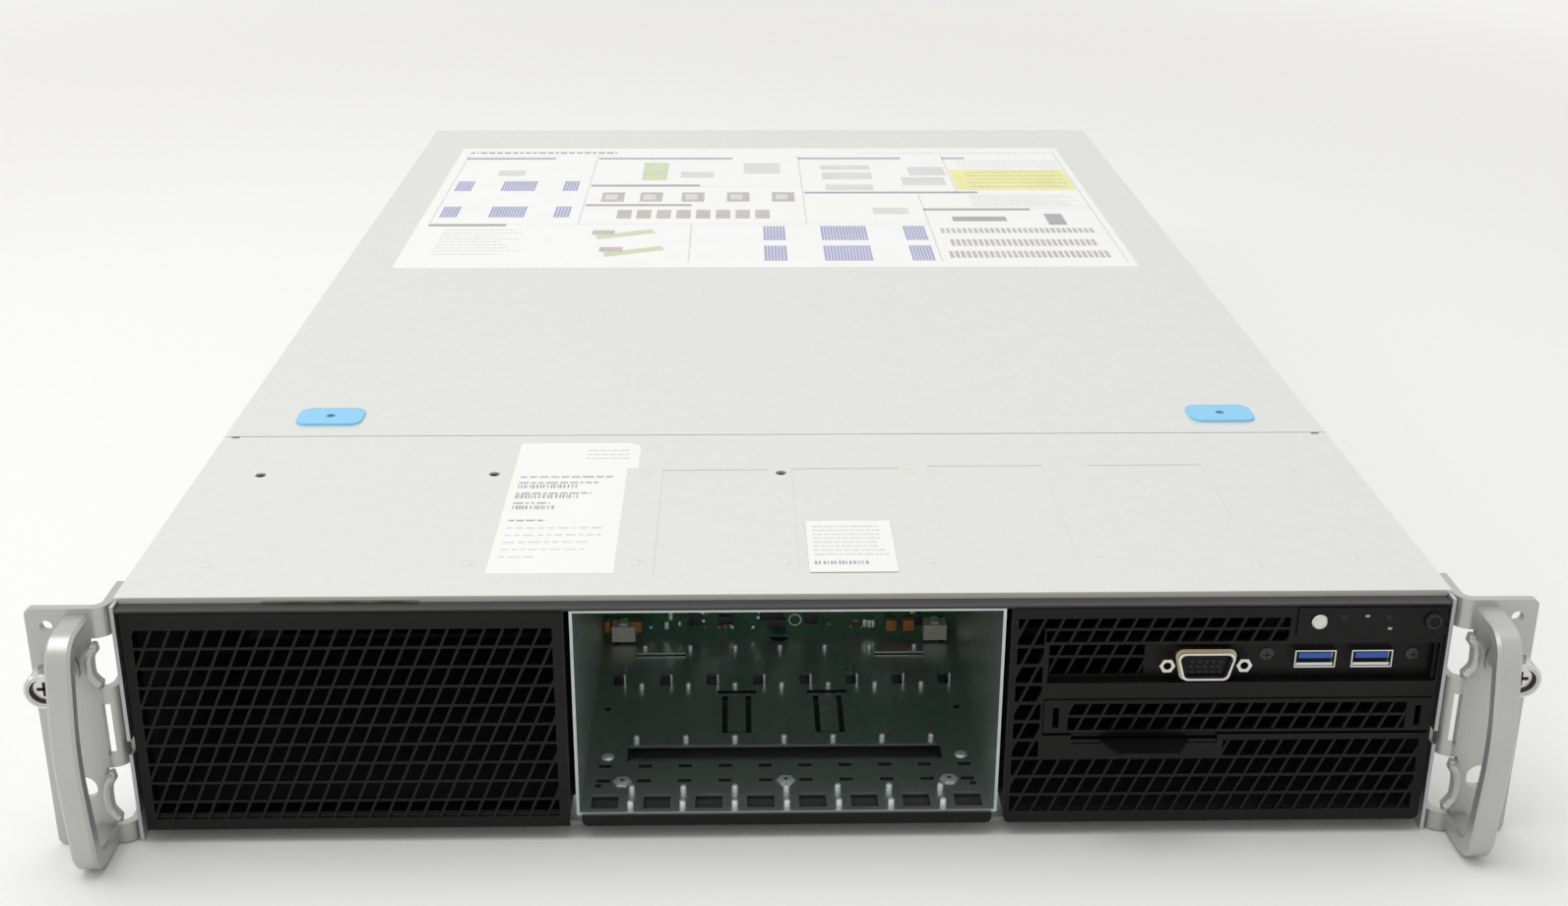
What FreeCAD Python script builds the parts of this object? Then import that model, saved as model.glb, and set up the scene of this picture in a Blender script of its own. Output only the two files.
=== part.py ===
import FreeCAD, Part
import math
import os
import Sketcher

# Rack server, two rack units high, for 2.5 inch drives.
# Frame: X to the right and Y to the back as seen from the front, Z up, millimetres.
# The origin is the centre of the chassis on its underside.

# ---------------------------------------------------------------------------------------
# Driving dimensions
# ---------------------------------------------------------------------------------------

SIZES = {
    # chassis shell
    "chassis_width": 430.0,
    "chassis_depth": 716.0,
    "chassis_height": 87.3,
    "wall_steel": 1.2,
    "cover_steel": 1.0,
    "bend_radius": 1.6,
    "sheet_gap": 0.3,
    "wall_front": 1.5,
    "wall_break_low": 33.0,
    "wall_break_high": 38.0,
    "wall_break_depth": 5.0,
    "pan_setback": 10.0,
    "top_setback": 6.3,
    "top_flange": 2.0,
    "top_panel_end": 149.0,
    "cover_seam": 0.6,
    "cover_flange": 4.0,
    "emboss_depth": 0.3,
    "pad_length": 26.0,
    "pad_width": 18.0,
    "pad_height": 0.9,
    "pad_corner": 5.0,
    "pad_from_edge": 37.0,
    "pad_from_seam": 21.0,
    "pad_hole_radius": 1.7,
    "panel_hole_radius": 2.0,
    "panel_hole_row": 109.5,
    "seam_notch": 3.0,
    # drive bays
    "bay_pitch": 142.0,
    "bay_inner": 138.0,
    "bay_steel": 1.0,
    "bay_floor": 9.8,
    "bay_roof": 83.4,
    "bay_depth": 129.5,
    "drive_pitch": 17.45,
    "notch_width": 9.1,
    "notch_length": 9.0,
    "notch_front": 3.5,
    "slot_width": 4.4,
    "slot_length": 1.1,
    "slot_pitch": 13.87,
    "slot_row_front": 20.4,
    "slot_row_back": 30.0,
    "ramp_slot_width": 110.3,
    "ramp_slot_front": 34.0,
    "ramp_slot_back": 44.6,
    "tongue_offset": 16.8,
    "tongue_cut_width": 10.6,
    "tongue_width": 6.6,
    "tongue_front": 53.0,
    "tongue_back": 82.0,
    "tongue_gap": 2.0,
    "tab_hole_width": 3.8,
    "tab_hole_front": 89.0,
    "tab_hole_back": 99.0,
    "wide_slot_offset": 46.1,
    "wide_slot_width": 19.0,
    "wide_slot_front": 102.0,
    "wide_slot_back": 115.0,
    "rail_width": 14.0,
    "rail_front": 14.0,
    "rail_back": 100.0,
    "top_rail_front": 0.6,
    "top_rail_depth": 16.0,
    "top_rail_steel": 0.9,
    # front panels
    "panel_width": 139.6,
    "panel_bottom": 5.3,
    "panel_steel": 1.2,
    "panel_corner": 2.2,
    "panel_gap": 0.2,
    "collar_depth": 8.0,
    "collar_steel": 1.0,
    "sill_width": 136.4,
    "sill_depth": 4.0,
    "mesh_pitch": 5.87,
    "mesh_bar": 1.0,
    "mesh_rise": 7.03,
    "mesh_hole": 6.1,
    "mesh_lean": 0.433,
    "mesh_first": 9.4,
    "mesh_side": 3.3,
    "mesh_rows": 10,
    "panel_mesh_first": 9.7,
    "panel_mesh_rise": 6.87,
    "panel_mesh_hole": 5.8,
    "column_right": -59.5,
    "plate_mesh_right": -26.0,
    "plate_mesh_bottom": 58.9,
    # service panel on the right
    "control_left": 21.5,
    "control_bottom": 74.5,
    "control_depth": 9.0,
    "control_proud": 0.6,
    "control_lip": 1.2,
    "io_left": -58.0,
    "io_right": 69.0,
    "io_bottom": 57.6,
    "io_top": 71.5,
    "io_setback": 4.0,
    "io_steel": 1.0,
    "slim_left": -58.6,
    "slim_bottom": 38.3,
    "slim_top": 51.8,
    "slim_plate_bottom": 39.5,
    "slim_proud": 0.5,
    "slim_depth": 12.0,
    "id_button_x": 28.5,
    "power_button_x": 65.4,
    "button_z": 79.8,
    "id_button_radius": 2.6,
    "power_button_radius": 2.9,
    "button_proud": 1.2,
    "button_fit": 0.1,
    "button_flange": 0.8,
    "vga_x": -7.0,
    "vga_z": 64.4,
    "vga_screw_spacing": 24.99,
    "vga_shell_width": 16.9,
    "vga_shell_height": 8.3,
    "vga_shell_proud": 6.0,
    "vga_shell": 0.6,
    "vga_well": 1.2,
    "jackscrew_radius": 2.6,
    "jackscrew_length": 5.5,
    "usb_x": 29.0,
    "usb_pitch": 18.5,
    "usb_z": 65.6,
    "usb_width": 13.4,
    "usb_height": 6.2,
    "usb_depth": 14.0,
    "usb_shell": 0.4,
    "tag_left": -49.0,
    "tag_right": -0.6,
    "tag_z": 35.7,
    "tag_thickness": 1.0,
    "tag_depth": 80.0,
    "tag_slot_bottom": 35.1,
    "tab_reach": 9.5,
    "tab_root_left": -39.5,
    "tab_root_right": -10.0,
    "tab_bevel": 5.4,
    # rack handles
    "ear_span": 482.6,
    "ear_steel": 3.0,
    "ear_bottom": 0.6,
    "ear_height": 86.0,
    "ear_bend": 6.0,
    "ear_flange_depth": 20.5,
    "ear_corner": 2.0,
    "rack_hole_spacing": 465.1,
    "thumbscrew_z": 65.9,
    "pilot_hole_x": 234.9,
    "pilot_hole_z": 80.5,
    "pilot_hole_radius": 2.0,
    "access_hole_x": 230.3,
    "access_hole_z": 21.4,
    "access_hole_radius": 4.2,
    "window_reach": 7.4,
    "low_window_bottom": 7.5,
    "low_window_top": 29.1,
    "link_slot_bottom": 33.5,
    "link_slot_top": 52.4,
    "link_slot_width": 2.6,
    "high_window_bottom": 58.0,
    "high_window_top": 76.2,
    "hook_width": 2.6,
    "hook_proud": 3.0,
    "grip_inner": 221.2,
    "grip_width": 8.0,
    "grip_top": 84.6,
    "grip_bottom": 0.9,
    "grip_reach": 22.0,
    "grip_bow": 5.0,
    "grip_strap": 5.0,
    "grip_lean": 2.0,
    "grip_bend": 10.0,
    "grip_sweep": 80.0,
    "grip_foot": 6.5,
    "grip_edge": 1.0,
    "screw_head_radius": 5.25,
    "screw_head_front": 16.4,
    "screw_head_length": 9.0,
    "screw_shank_radius": 2.5,
    "screw_shank_length": 11.0,
    "screw_thread_radius": 2.2,
    "ferrule_radius": 5.0,
    "ferrule_flange_radius": 6.6,
    "ferrule_flange": 1.4,
    "running_fit": 0.1,
    "end_play": 0.3,
    # backplane
    "backplane_thickness": 2.0,
    "backplane_top": 82.0,
    "socket_width": 9.0,
    "socket_height": 6.4,
    "socket_depth": 7.0,
    "socket_from_side": 8.0,
    # fans
    "fan_count": 4,
    "fan_pitch": 100.0,
    "fan_size": 80.0,
    "fan_depth": 38.0,
    "fan_bore": 76.0,
    "fan_hub_radius": 20.0,
    "fan_tip_gap": 1.0,
    "fan_blade": 1.6,
    "fan_blade_angle": 38.0,
    "fan_blades": 5,
    "fan_front": 152.0,
    "fan_shaft_radius": 2.0,
    "fan_spoke": 4.0,
    "fan_plate": 1.5,
    # system board and what it carries
    "board_left": -205.0,
    "board_right": 126.0,
    "board_front": 214.0,
    "board_from_back": 10.0,
    "board_top": 8.2,
    "board_thickness": 2.0,
    "standoff_radius": 3.0,
    "cooler_offset": 78.0,
    "cooler_front": 262.0,
    "cooler_width": 70.0,
    "cooler_length": 96.0,
    "cooler_height": 26.0,
    "cooler_lift": 6.0,
    "cooler_fins": 12,
    "fin_thickness": 1.0,
    "module_front": 246.0,
    "module_length": 133.4,
    "module_thickness": 3.8,
    "module_height": 30.0,
    "module_pitch": 9.4,
    "module_bank": 4,
    "module_socket": 6.5,
    "socket_wall": 7.0,
    "duct_steel": 1.5,
    "duct_height": 46.0,
    "duct_length": 180.0,
    # power supplies
    "supply_left": 136.6,
    "supply_width": 73.5,
    "supply_height": 39.0,
    "supply_depth": 185.0,
    "supply_low": 2.2,
    "supply_gap": 1.6,
    "supply_fit": 0.6,
    "shelf_steel": 1.0,
    "inlet_width": 27.0,
    "inlet_height": 20.0,
    "inlet_depth": 12.0,
    "bail_width": 34.0,
    "bail_reach": 22.0,
    "bail_steel": 3.0,
    "bail_bend": 5.0,
    "latch_width": 5.5,
    "latch_height": 14.0,
    "latch_travel": 2.0,
    "outlet_radius": 15.0,
    "outlet_depth": 3.0,
    # rear wall
    "port_bottom": 6.0,
    "port_height": 20.0,
    "port_left": -92.0,
    "port_right": 124.0,
    "slot_cover_width": 104.0,
    "slot_cover_height": 18.4,
    "slot_cover_pitch": 20.32,
    "riser_a_left": -205.0,
    "riser_b_left": -92.0,
    "riser_a_bottom": 10.0,
    "riser_b_bottom": 30.0,
    "port_depth": 20.0,
    "port_well": 3.5,
    "port_skin": 0.6,
    "jack_width": 16.0,
    "jack_height": 13.4,
    "jack_pitch": 18.0,
    "jack_first": -40.0,
    "stack_left": -66.0,
    "rear_video_left": 40.0,
    "rear_video_width": 31.0,
    "rear_video_height": 12.4,
    "riser_from_back": 26.0,
    "riser_length": 130.0,
    "riser_height": 58.0,
    "riser_thickness": 1.6,
    "vent_left": 26.0,
    "vent_width": 5.0,
    "vent_pitch": 8.0,
    "vent_count": 12,
}

doc = FreeCAD.newDocument("rack_server")
sheet = doc.addObject("Spreadsheet::Sheet", "sizes")
for row, (alias, number) in enumerate(SIZES.items(), start=1):
    sheet.set(f"A{row}", alias)
    sheet.set(f"B{row}", str(number))
    sheet.setAlias(f"B{row}", alias)
doc.recompute()


class Size:
    """A length worked out from the sheet: its number, and the formula that keeps it tied."""

    def __init__(self, number, formula):
        self.number = number
        self.formula = formula

    def __float__(self):
        return float(self.number)

    def __add__(self, other):
        return Size(self.number + float(other), f"({self.formula} + {formula_of(other)})")

    def __radd__(self, other):
        return Size(float(other) + self.number, f"({formula_of(other)} + {self.formula})")

    def __sub__(self, other):
        return Size(self.number - float(other), f"({self.formula} - {formula_of(other)})")

    def __rsub__(self, other):
        return Size(float(other) - self.number, f"({formula_of(other)} - {self.formula})")

    def __mul__(self, other):
        return Size(self.number * float(other), f"({self.formula} * {formula_of(other)})")

    __rmul__ = __mul__

    def __truediv__(self, other):
        return Size(self.number / float(other), f"({self.formula} / {formula_of(other)})")

    def __neg__(self):
        return Size(-self.number, f"(0 - {self.formula})")


def formula_of(length):
    """The expression of a Size, or a plain number written out."""
    return length.formula if isinstance(length, Size) else repr(float(length))


class Sheet:
    """Reads the sheet's cells by name."""

    def __getattr__(self, alias):
        return Size(float(sheet.get(alias)), f"sizes.{alias}")


size = Sheet()
vector = FreeCAD.Vector

# ---------------------------------------------------------------------------------------
# Modelling helpers
# ---------------------------------------------------------------------------------------

TURNED_TO = {
    "x": FreeCAD.Rotation(vector(0, 1, 0), 90),
    "y": FreeCAD.Rotation(vector(1, 0, 0), -90),
    "z": FreeCAD.Rotation(),
}

parts = []


def bind(thing, **lengths):
    """Ties properties of an object to lengths."""
    for name, length in lengths.items():
        thing.setExpression(name, formula_of(length))


def move(thing, x=0, y=0, z=0):
    """Ties an object's position to three lengths."""
    for axis, length in zip("xyz", (x, y, z)):
        thing.setExpression(f"Placement.Base.{axis}", formula_of(length))
    return thing


def block(x, y, z):
    """Rectangular solid between two values along each axis."""
    thing = doc.addObject("Part::Box", "block")
    bind(thing, Length=x[1] - x[0], Width=y[1] - y[0], Height=z[1] - z[0])
    return move(thing, x[0], y[0], z[0])


def rod(radius, length, x, y, z, along="y"):
    """Cylinder that starts at a point and runs along one axis."""
    thing = doc.addObject("Part::Cylinder", "rod")
    thing.Placement = FreeCAD.Placement(vector(), TURNED_TO[along])
    bind(thing, Radius=radius, Height=length)
    return move(thing, x, y, z)


def join(*pieces):
    """One solid out of pieces that meet."""
    thing = doc.addObject("Part::MultiFuse", "join")
    thing.Shapes = list(pieces)
    thing.Refine = True
    return thing


def group(*pieces):
    """Separate solids that share one node."""
    thing = doc.addObject("Part::Compound", "group")
    thing.Links = list(pieces)
    return thing


def cut(base, *tools):
    """The base with the tools taken away; the tools stay clear of each other."""
    thing = doc.addObject("Part::Cut", "cut")
    thing.Base = base
    thing.Tool = tools[0] if len(tools) == 1 else group(*tools)
    thing.Refine = True
    return thing


def new_body(x=0, y=0, z=0):
    """PartDesign body with its own frame at a tied position."""
    return move(doc.addObject("PartDesign::Body", "body"), x, y, z)


def sketch(body, plane, offset=0):
    """Empty sketch on one of the body's origin planes, moved off it along the plane's normal."""
    drawing = body.newObject("Sketcher::SketchObject", "sketch")
    support = [item for item in body.Origin.OriginFeatures if item.Role == plane + "_Plane"]
    drawing.AttachmentSupport = [(support[0], "")]
    drawing.MapMode = "FlatFace"
    drawing.setExpression("AttachmentOffset.Base.z", formula_of(offset))
    return drawing


def dimension(drawing, rows):
    """Adds constraints, each a kind, its ends and a length that may follow the sheet."""
    numbers = drawing.addConstraint(
        [Sketcher.Constraint(kind, *ends, float(length)) for kind, ends, length in rows])
    for number, (kind, ends, length) in zip(numbers, rows):
        if isinstance(length, Size):
            drawing.setExpression(f"Constraints[{number}]", length.formula)


def draw_outline(drawing, corners):
    """Closed straight outline whose corners are dimensioned from the sketch's origin."""
    first = drawing.GeometryCount
    count = len(corners)
    spots = [vector(float(a), float(b)) for a, b in corners]
    drawing.addGeometry([Part.LineSegment(spots[i], spots[(i + 1) % count]) for i in range(count)])
    drawing.addConstraint(
        [Sketcher.Constraint("Coincident", first + i, 2, first + (i + 1) % count, 1)
         for i in range(count)])
    rows = []
    for i, (a, b) in enumerate(corners):
        rows.append(("DistanceX", (-1, 1, first + i, 1), a))
        rows.append(("DistanceY", (-1, 1, first + i, 1), b))
    dimension(drawing, rows)


def draw_box(drawing, a, b):
    """Rectangle between two values along each of the sketch's axes."""
    draw_outline(drawing, [(a[0], b[0]), (a[1], b[0]), (a[1], b[1]), (a[0], b[1])])


def draw_circle(drawing, a, b, radius):
    """Circle with its centre and radius dimensioned."""
    number = drawing.addGeometry(
        Part.Circle(vector(float(a), float(b)), vector(0, 0, 1), float(radius)))
    dimension(drawing, [("DistanceX", (-1, 1, number, 3), a),
                        ("DistanceY", (-1, 1, number, 3), b),
                        ("Radius", (number,), radius)])


def draw_loop(drawing, stretches):
    """Closed loop of straight stretches (two points) and round ones (three points)."""
    curves = []
    for stretch in stretches:
        spots = [vector(float(a), float(b)) for a, b in stretch]
        curves.append(Part.LineSegment(*spots) if len(spots) == 2 else Part.Arc(*spots))
    drawing.addGeometry(curves)


def draw_rounded(drawing, corners):
    """Closed outline with a tangent arc at each corner that has a radius: (a, b, radius)."""
    count = len(corners)
    spots = [vector(float(a), float(b)) for a, b, radius in corners]
    ends = []
    middles = []
    for i, (a, b, radius) in enumerate(corners):
        before = (spots[i - 1] - spots[i]).normalize()
        after = (spots[(i + 1) % count] - spots[i]).normalize()
        half = before.getAngle(after) / 2
        reach = float(radius) / math.tan(half)
        centre = float(radius) / math.sin(half)
        bisector = before + after
        ends.append((spots[i] + before * reach, spots[i] + after * reach))
        if float(radius) > 0:
            middles.append(spots[i] + bisector.normalize() * (centre - float(radius)))
        else:
            middles.append(None)
    curves = []
    for i in range(count):
        if middles[i]:
            curves.append(Part.Arc(ends[i][0], middles[i], ends[i][1]))
        curves.append(Part.LineSegment(ends[i][1], ends[(i + 1) % count][0]))
    drawing.addGeometry(curves)


def pad(body, drawing, length, backward=False):
    """Adds the sketch's area, drawn out by a length."""
    feature = body.newObject("PartDesign::Pad", "pad")
    feature.Profile = drawing
    feature.Reversed = backward
    bind(feature, Length=length)
    return feature


def pocket(body, drawing, length=None, backward=False):
    """Takes the sketch's area away, to a depth or right through both ways."""
    feature = body.newObject("PartDesign::Pocket", "pocket")
    feature.Profile = drawing
    feature.Reversed = backward
    if length is None:
        feature.Type = "ThroughAll"
        feature.Midplane = True
    else:
        bind(feature, Length=length)
    return feature


def revolve(body, drawing, axis):
    """Full turn of the sketch's area about one of its own axes."""
    feature = body.newObject("PartDesign::Revolution", "revolution")
    feature.Profile = drawing
    feature.ReferenceAxis = (drawing, [axis])
    feature.Angle = 360.0
    return feature


def pick_edges(body, chosen):
    """The body's tip with the names of those of its edges that pass a test."""
    doc.recompute()
    base = body.Tip
    return base, [f"Edge{i}" for i, edge in enumerate(base.Shape.Edges, start=1) if chosen(edge)]


def round_edges(body, radius, chosen):
    """Fillets the edges of the body's tip that a test picks out."""
    picked = pick_edges(body, chosen)
    feature = body.newObject("PartDesign::Fillet", "fillet")
    feature.Base = picked
    bind(feature, Radius=radius)
    return feature


def bevel_edges(body, length, chosen):
    """Chamfers the edges of the body's tip that a test picks out."""
    picked = pick_edges(body, chosen)
    feature = body.newObject("PartDesign::Chamfer", "chamfer")
    feature.Base = picked
    bind(feature, Size=length)
    return feature


def runs_along(edge, axis):
    """True for a straight edge parallel to one axis."""
    if not isinstance(edge.Curve, Part.Line):
        return False
    return abs(abs(getattr(edge.Curve.Direction, axis)) - 1) < 1e-6


def keep(label, thing):
    """Names a finished sub-part, which is written to a file of that name."""
    thing.Label = label
    parts.append(thing)
    return thing


# ---------------------------------------------------------------------------------------
# Places that several sub-parts share
# ---------------------------------------------------------------------------------------

front = -size.chassis_depth / 2
back = size.chassis_depth / 2
half_width = size.chassis_width / 2
wall_inside = half_width - size.wall_steel
lid_underside = size.chassis_height - size.cover_steel
cage_half = size.bay_inner / 2 + size.bay_steel
cage_bottom = size.bay_floor - size.bay_steel
cage_top = size.bay_roof + size.bay_steel
service_x = size.bay_pitch
ear_x = size.ear_span / 2
screw_x = size.rack_hole_spacing / 2


def clip(corners, limit, side):
    """Part of a convex outline on one side of a vertical line."""
    kept = []
    for start, end in zip(corners, corners[1:] + corners[:1]):
        inside = [side * (spot[0] - limit) >= 0 for spot in (start, end)]
        if inside[0]:
            kept.append(start)
        if inside[0] != inside[1]:
            share = (limit - start[0]) / (end[0] - start[0])
            kept.append((limit, start[1] + share * (end[1] - start[1])))
    return kept


def draw_mesh_row(drawing, left, right, bottom, top):
    """Row of leaning four-sided holes between two bars that cross the whole mesh."""
    left, right, bottom, top = (float(value) for value in (left, right, bottom, top))
    pitch = float(size.mesh_pitch)
    width = pitch - float(size.mesh_bar)
    lean = float(size.mesh_lean)
    smallest = float(size.mesh_bar)
    start = pitch * math.floor((left - lean * top) / pitch - 1)
    while start < right:
        low = start + lean * bottom
        high = start + lean * top
        hole = [(low, bottom), (low + width, bottom), (high + width, top), (high, top)]
        hole = clip(clip(hole, left, 1), right, -1)
        start += pitch
        if len(hole) < 3:
            continue
        reach = [spot[0] for spot in hole]
        if max(reach) - min(reach) < smallest:
            continue
        draw_loop(drawing, list(zip(hole, hole[1:] + hole[:1])))


# ---------------------------------------------------------------------------------------
# Chassis shell
# ---------------------------------------------------------------------------------------

def make_chassis_base():
    """Bottom pan and both side walls, folded from one sheet."""
    body = new_body(y=front)
    steel = size.wall_steel
    profile = sketch(body, "XZ", -size.wall_front)
    draw_outline(profile, [
        (-half_width, 0), (half_width, 0), (half_width, lid_underside),
        (half_width - steel, lid_underside), (half_width - steel, steel),
        (steel - half_width, steel), (steel - half_width, lid_underside),
        (-half_width, lid_underside)])
    pad(body, profile, size.chassis_depth - size.wall_front, backward=True)
    round_edges(body, size.bend_radius,
                lambda edge: runs_along(edge, "y") and abs(edge.CenterOfMass.z) < 1e-6)
    mouth = sketch(body, "XY")
    draw_box(mouth, (-wall_inside, wall_inside), (0, size.pan_setback))
    pocket(body, mouth)
    gap = sketch(body, "YZ")
    draw_box(gap, (0, size.wall_break_depth), (size.wall_break_low, size.wall_break_high))
    pocket(body, gap)
    return keep("chassis_base", body)


def lid_profile(drawing):
    """Flat sheet with a flange down inside each side wall."""
    outer = wall_inside - size.sheet_gap
    inner = outer - size.cover_steel
    low = lid_underside - size.cover_flange
    top = size.chassis_height
    draw_outline(drawing, [
        (-half_width, lid_underside), (-outer, lid_underside), (-outer, low), (-inner, low),
        (-inner, lid_underside), (inner, lid_underside), (inner, low), (outer, low),
        (outer, lid_underside), (half_width, lid_underside), (half_width, top),
        (-half_width, top)])


PANEL_HOLES = (-192.0, -106.0, 0.0)

EMBOSSES = {  # left edge, right edge, front edge, back edge of each pressed field
    "a": (-44.0, -5.0, 22.0, 113.0),
    "b": (4.0, 44.0, 22.0, 114.0),
    "c": (55.0, 98.0, 23.0, 116.0),
    "d": (115.0, 158.0, 23.0, 116.0),
}


def make_front_top_panel():
    """Fixed sheet over the drive bays, with a short lip at the front and four pressed fields."""
    body = new_body(y=front)
    profile = sketch(body, "XZ", -size.top_setback)
    lid_profile(profile)
    pad(body, profile, size.top_panel_end - size.top_setback, backward=True)
    step = sketch(body, "XY", lid_underside - size.cover_flange)
    draw_box(step, (-half_width, half_width), (0, size.ear_flange_depth))
    pocket(body, step, size.cover_flange, backward=True)
    lip = sketch(body, "XZ", -size.top_setback)
    draw_box(lip, (size.panel_gap - wall_inside, wall_inside - size.panel_gap),
             (size.chassis_height - size.top_flange, size.chassis_height))
    pad(body, lip, size.cover_steel, backward=True)
    fields = sketch(body, "XY", size.chassis_height)
    for left, right, near, far in EMBOSSES.values():
        draw_box(fields, (left, right), (near, far))
    pocket(body, fields, size.emboss_depth)
    holes = sketch(body, "XY", size.chassis_height)
    for x in PANEL_HOLES:
        draw_circle(holes, x, size.panel_hole_row, size.panel_hole_radius)
    notch = size.seam_notch
    for x in (-half_width + notch, half_width - notch * 2):
        draw_box(holes, (x, x + notch), (size.top_panel_end - notch / 2, size.top_panel_end))
    pocket(body, holes, size.cover_steel * 2)
    return keep("front_top_panel", body)


def make_top_cover():
    """Removable cover behind the seam, with a flange down over the rear wall."""
    start = size.top_panel_end + size.cover_seam
    body = new_body(y=front)
    profile = sketch(body, "XZ", -start)
    lid_profile(profile)
    pad(body, profile, size.chassis_depth - start, backward=True)
    holes = sketch(body, "XY", size.chassis_height)
    for side in (-1, 1):
        draw_circle(holes, side * (half_width - size.pad_from_edge),
                    size.top_panel_end + size.pad_from_seam, size.pad_hole_radius)
    pocket(body, holes, size.cover_steel * 2)
    return keep("top_cover", body)


def make_thumb_pads():
    """Two rounded pads for the thumbs that push the cover back."""
    pads = []
    for side in (-1, 1):
        body = new_body(side * (half_width - size.pad_from_edge),
                        front + size.top_panel_end + size.pad_from_seam, size.chassis_height)
        outline = sketch(body, "XY")
        draw_box(outline, (-size.pad_length / 2, size.pad_length / 2),
                 (-size.pad_width / 2, size.pad_width / 2))
        draw_circle(outline, 0, 0, size.pad_hole_radius)
        pad(body, outline, size.pad_height)
        round_edges(body, size.pad_corner, lambda edge: runs_along(edge, "z")
                    and abs(edge.CenterOfMass.x) > float(size.pad_hole_radius) * 2)
        pads.append(body)
    return keep("cover_thumb_pads", group(*pads))


# ---------------------------------------------------------------------------------------
# Drive bays
# ---------------------------------------------------------------------------------------

def make_cage(label, centre, detailed):
    """Drive cage: a square tube of sheet steel; the open one has its whole floor pattern."""
    body = new_body(centre, front)
    profile = sketch(body, "XZ", -size.panel_steel)
    draw_box(profile, (-cage_half, cage_half), (cage_bottom, cage_top))
    draw_box(profile, (-size.bay_inner / 2, size.bay_inner / 2), (size.bay_floor, size.bay_roof))
    pad(body, profile, size.bay_depth - size.panel_steel, backward=True)
    if detailed:
        cut_cage_floor(body)
    return keep(label, body)


def around(middle, width):
    """Span of a width about its middle."""
    return middle - width / 2, middle + width / 2


def repeat(body, feature, pitch, count):
    """Repeats a feature along X at a tied pitch."""
    row = body.newObject("PartDesign::LinearPattern", "pattern")
    row.Originals = [feature]
    row.Direction = (feature.Profile[0], ["H_Axis"])
    row.Occurrences = count
    bind(row, Length=pitch * (count - 1))
    body.Tip = row
    return row


def cut_floor_row(body, width, near, far, pitch, count):
    """Row of equal openings across a cage's floor, about its middle."""
    holes = sketch(body, "XY", size.bay_floor)
    draw_box(holes, around(pitch * (1 - count) / 2, width), (near, far))
    first = pocket(body, holes, size.bay_steel * 2)
    repeat(body, first, pitch, count)


def cut_cage_floor(body):
    """Openings in the floor of the open bay."""
    cut_floor_row(body, size.notch_width, size.notch_front,
                  size.notch_front + size.notch_length, size.drive_pitch, 8)
    cut_floor_row(body, size.tab_hole_width, size.tab_hole_front, size.tab_hole_back,
                  size.drive_pitch, 8)
    for row in (size.slot_row_front, size.slot_row_back):
        cut_floor_row(body, size.slot_width, row, row + size.slot_length, size.slot_pitch, 10)
    cut_floor_row(body, size.wide_slot_width, size.wide_slot_front, size.wide_slot_back,
                  size.wide_slot_offset * 2, 2)
    large = sketch(body, "XY", size.bay_floor)
    draw_box(large, (-size.ramp_slot_width / 2, size.ramp_slot_width / 2),
             (size.ramp_slot_front, size.ramp_slot_back))
    outer = size.tongue_cut_width / 2
    inner = size.tongue_width / 2
    tip = size.tongue_front + size.tongue_gap
    for side in (-1, 1):
        x = side * size.tongue_offset
        draw_outline(large, [
            (x - outer, size.tongue_front), (x + outer, size.tongue_front),
            (x + outer, size.tongue_back), (x + inner, size.tongue_back), (x + inner, tip),
            (x - inner, tip), (x - inner, size.tongue_back), (x - outer, size.tongue_back)])
    pocket(body, large, size.bay_steel * 2)


def make_cage_rails():
    """Two cross rails that carry the cages on the pan."""
    rails = []
    for near in (size.rail_front, size.rail_back):
        rails.append(block((-wall_inside + size.sheet_gap, wall_inside - size.sheet_gap),
                           (front + near, front + near + size.rail_width),
                           (size.wall_steel, cage_bottom)))
    return keep("cage_rails", group(*rails))


def make_top_rail():
    """Dark rail along the front, over the mouths of the three bays."""
    start = front + size.top_rail_front
    return keep("top_rail", block((-wall_inside + size.sheet_gap, wall_inside - size.sheet_gap),
                                  (start, start + size.top_rail_depth),
                                  (cage_top, cage_top + size.top_rail_steel)))


def make_bay_sill():
    """Rounded lip under the mouth of the open bay."""
    body = new_body(0, front, size.panel_bottom)
    outline = sketch(body, "XZ")
    draw_box(outline, (-size.sill_width / 2, size.sill_width / 2),
             (0, cage_bottom - size.panel_bottom))
    pad(body, outline, size.sill_depth, backward=True)
    round_edges(body, size.panel_corner, lambda edge: runs_along(edge, "y")
                and edge.CenterOfMass.z < 0.01)
    return keep("bay_sill", body)


def add_collar(body):
    """Rim behind a bay panel that slips into the mouth of its cage."""
    outer = size.bay_inner / 2 - size.panel_gap
    low = size.bay_floor + size.panel_gap
    high = size.bay_roof - size.panel_gap
    rim = size.collar_steel
    collar = sketch(body, "XZ", -size.panel_steel)
    draw_box(collar, (-outer, outer), (low, high))
    draw_box(collar, (rim - outer, outer - rim), (low + rim, high - rim))
    pad(body, collar, size.collar_depth, backward=True)


def make_left_filler():
    """Panel over the empty left bay: a mesh of leaning holes inside a plain border."""
    body = new_body(-size.bay_pitch, front)
    face = sketch(body, "XZ")
    half = size.panel_width / 2
    draw_box(face, (-half, half), (size.panel_bottom, cage_top))
    for row in range(int(float(size.mesh_rows))):
        bottom = size.mesh_first + row * size.mesh_rise
        draw_mesh_row(face, size.mesh_side - half, half - size.mesh_side,
                      bottom, bottom + size.mesh_hole)
    pad(body, face, size.panel_steel, backward=True)
    add_collar(body)
    return keep("left_bay_filler", body)


# ---------------------------------------------------------------------------------------
# Service panel
# ---------------------------------------------------------------------------------------

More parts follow.
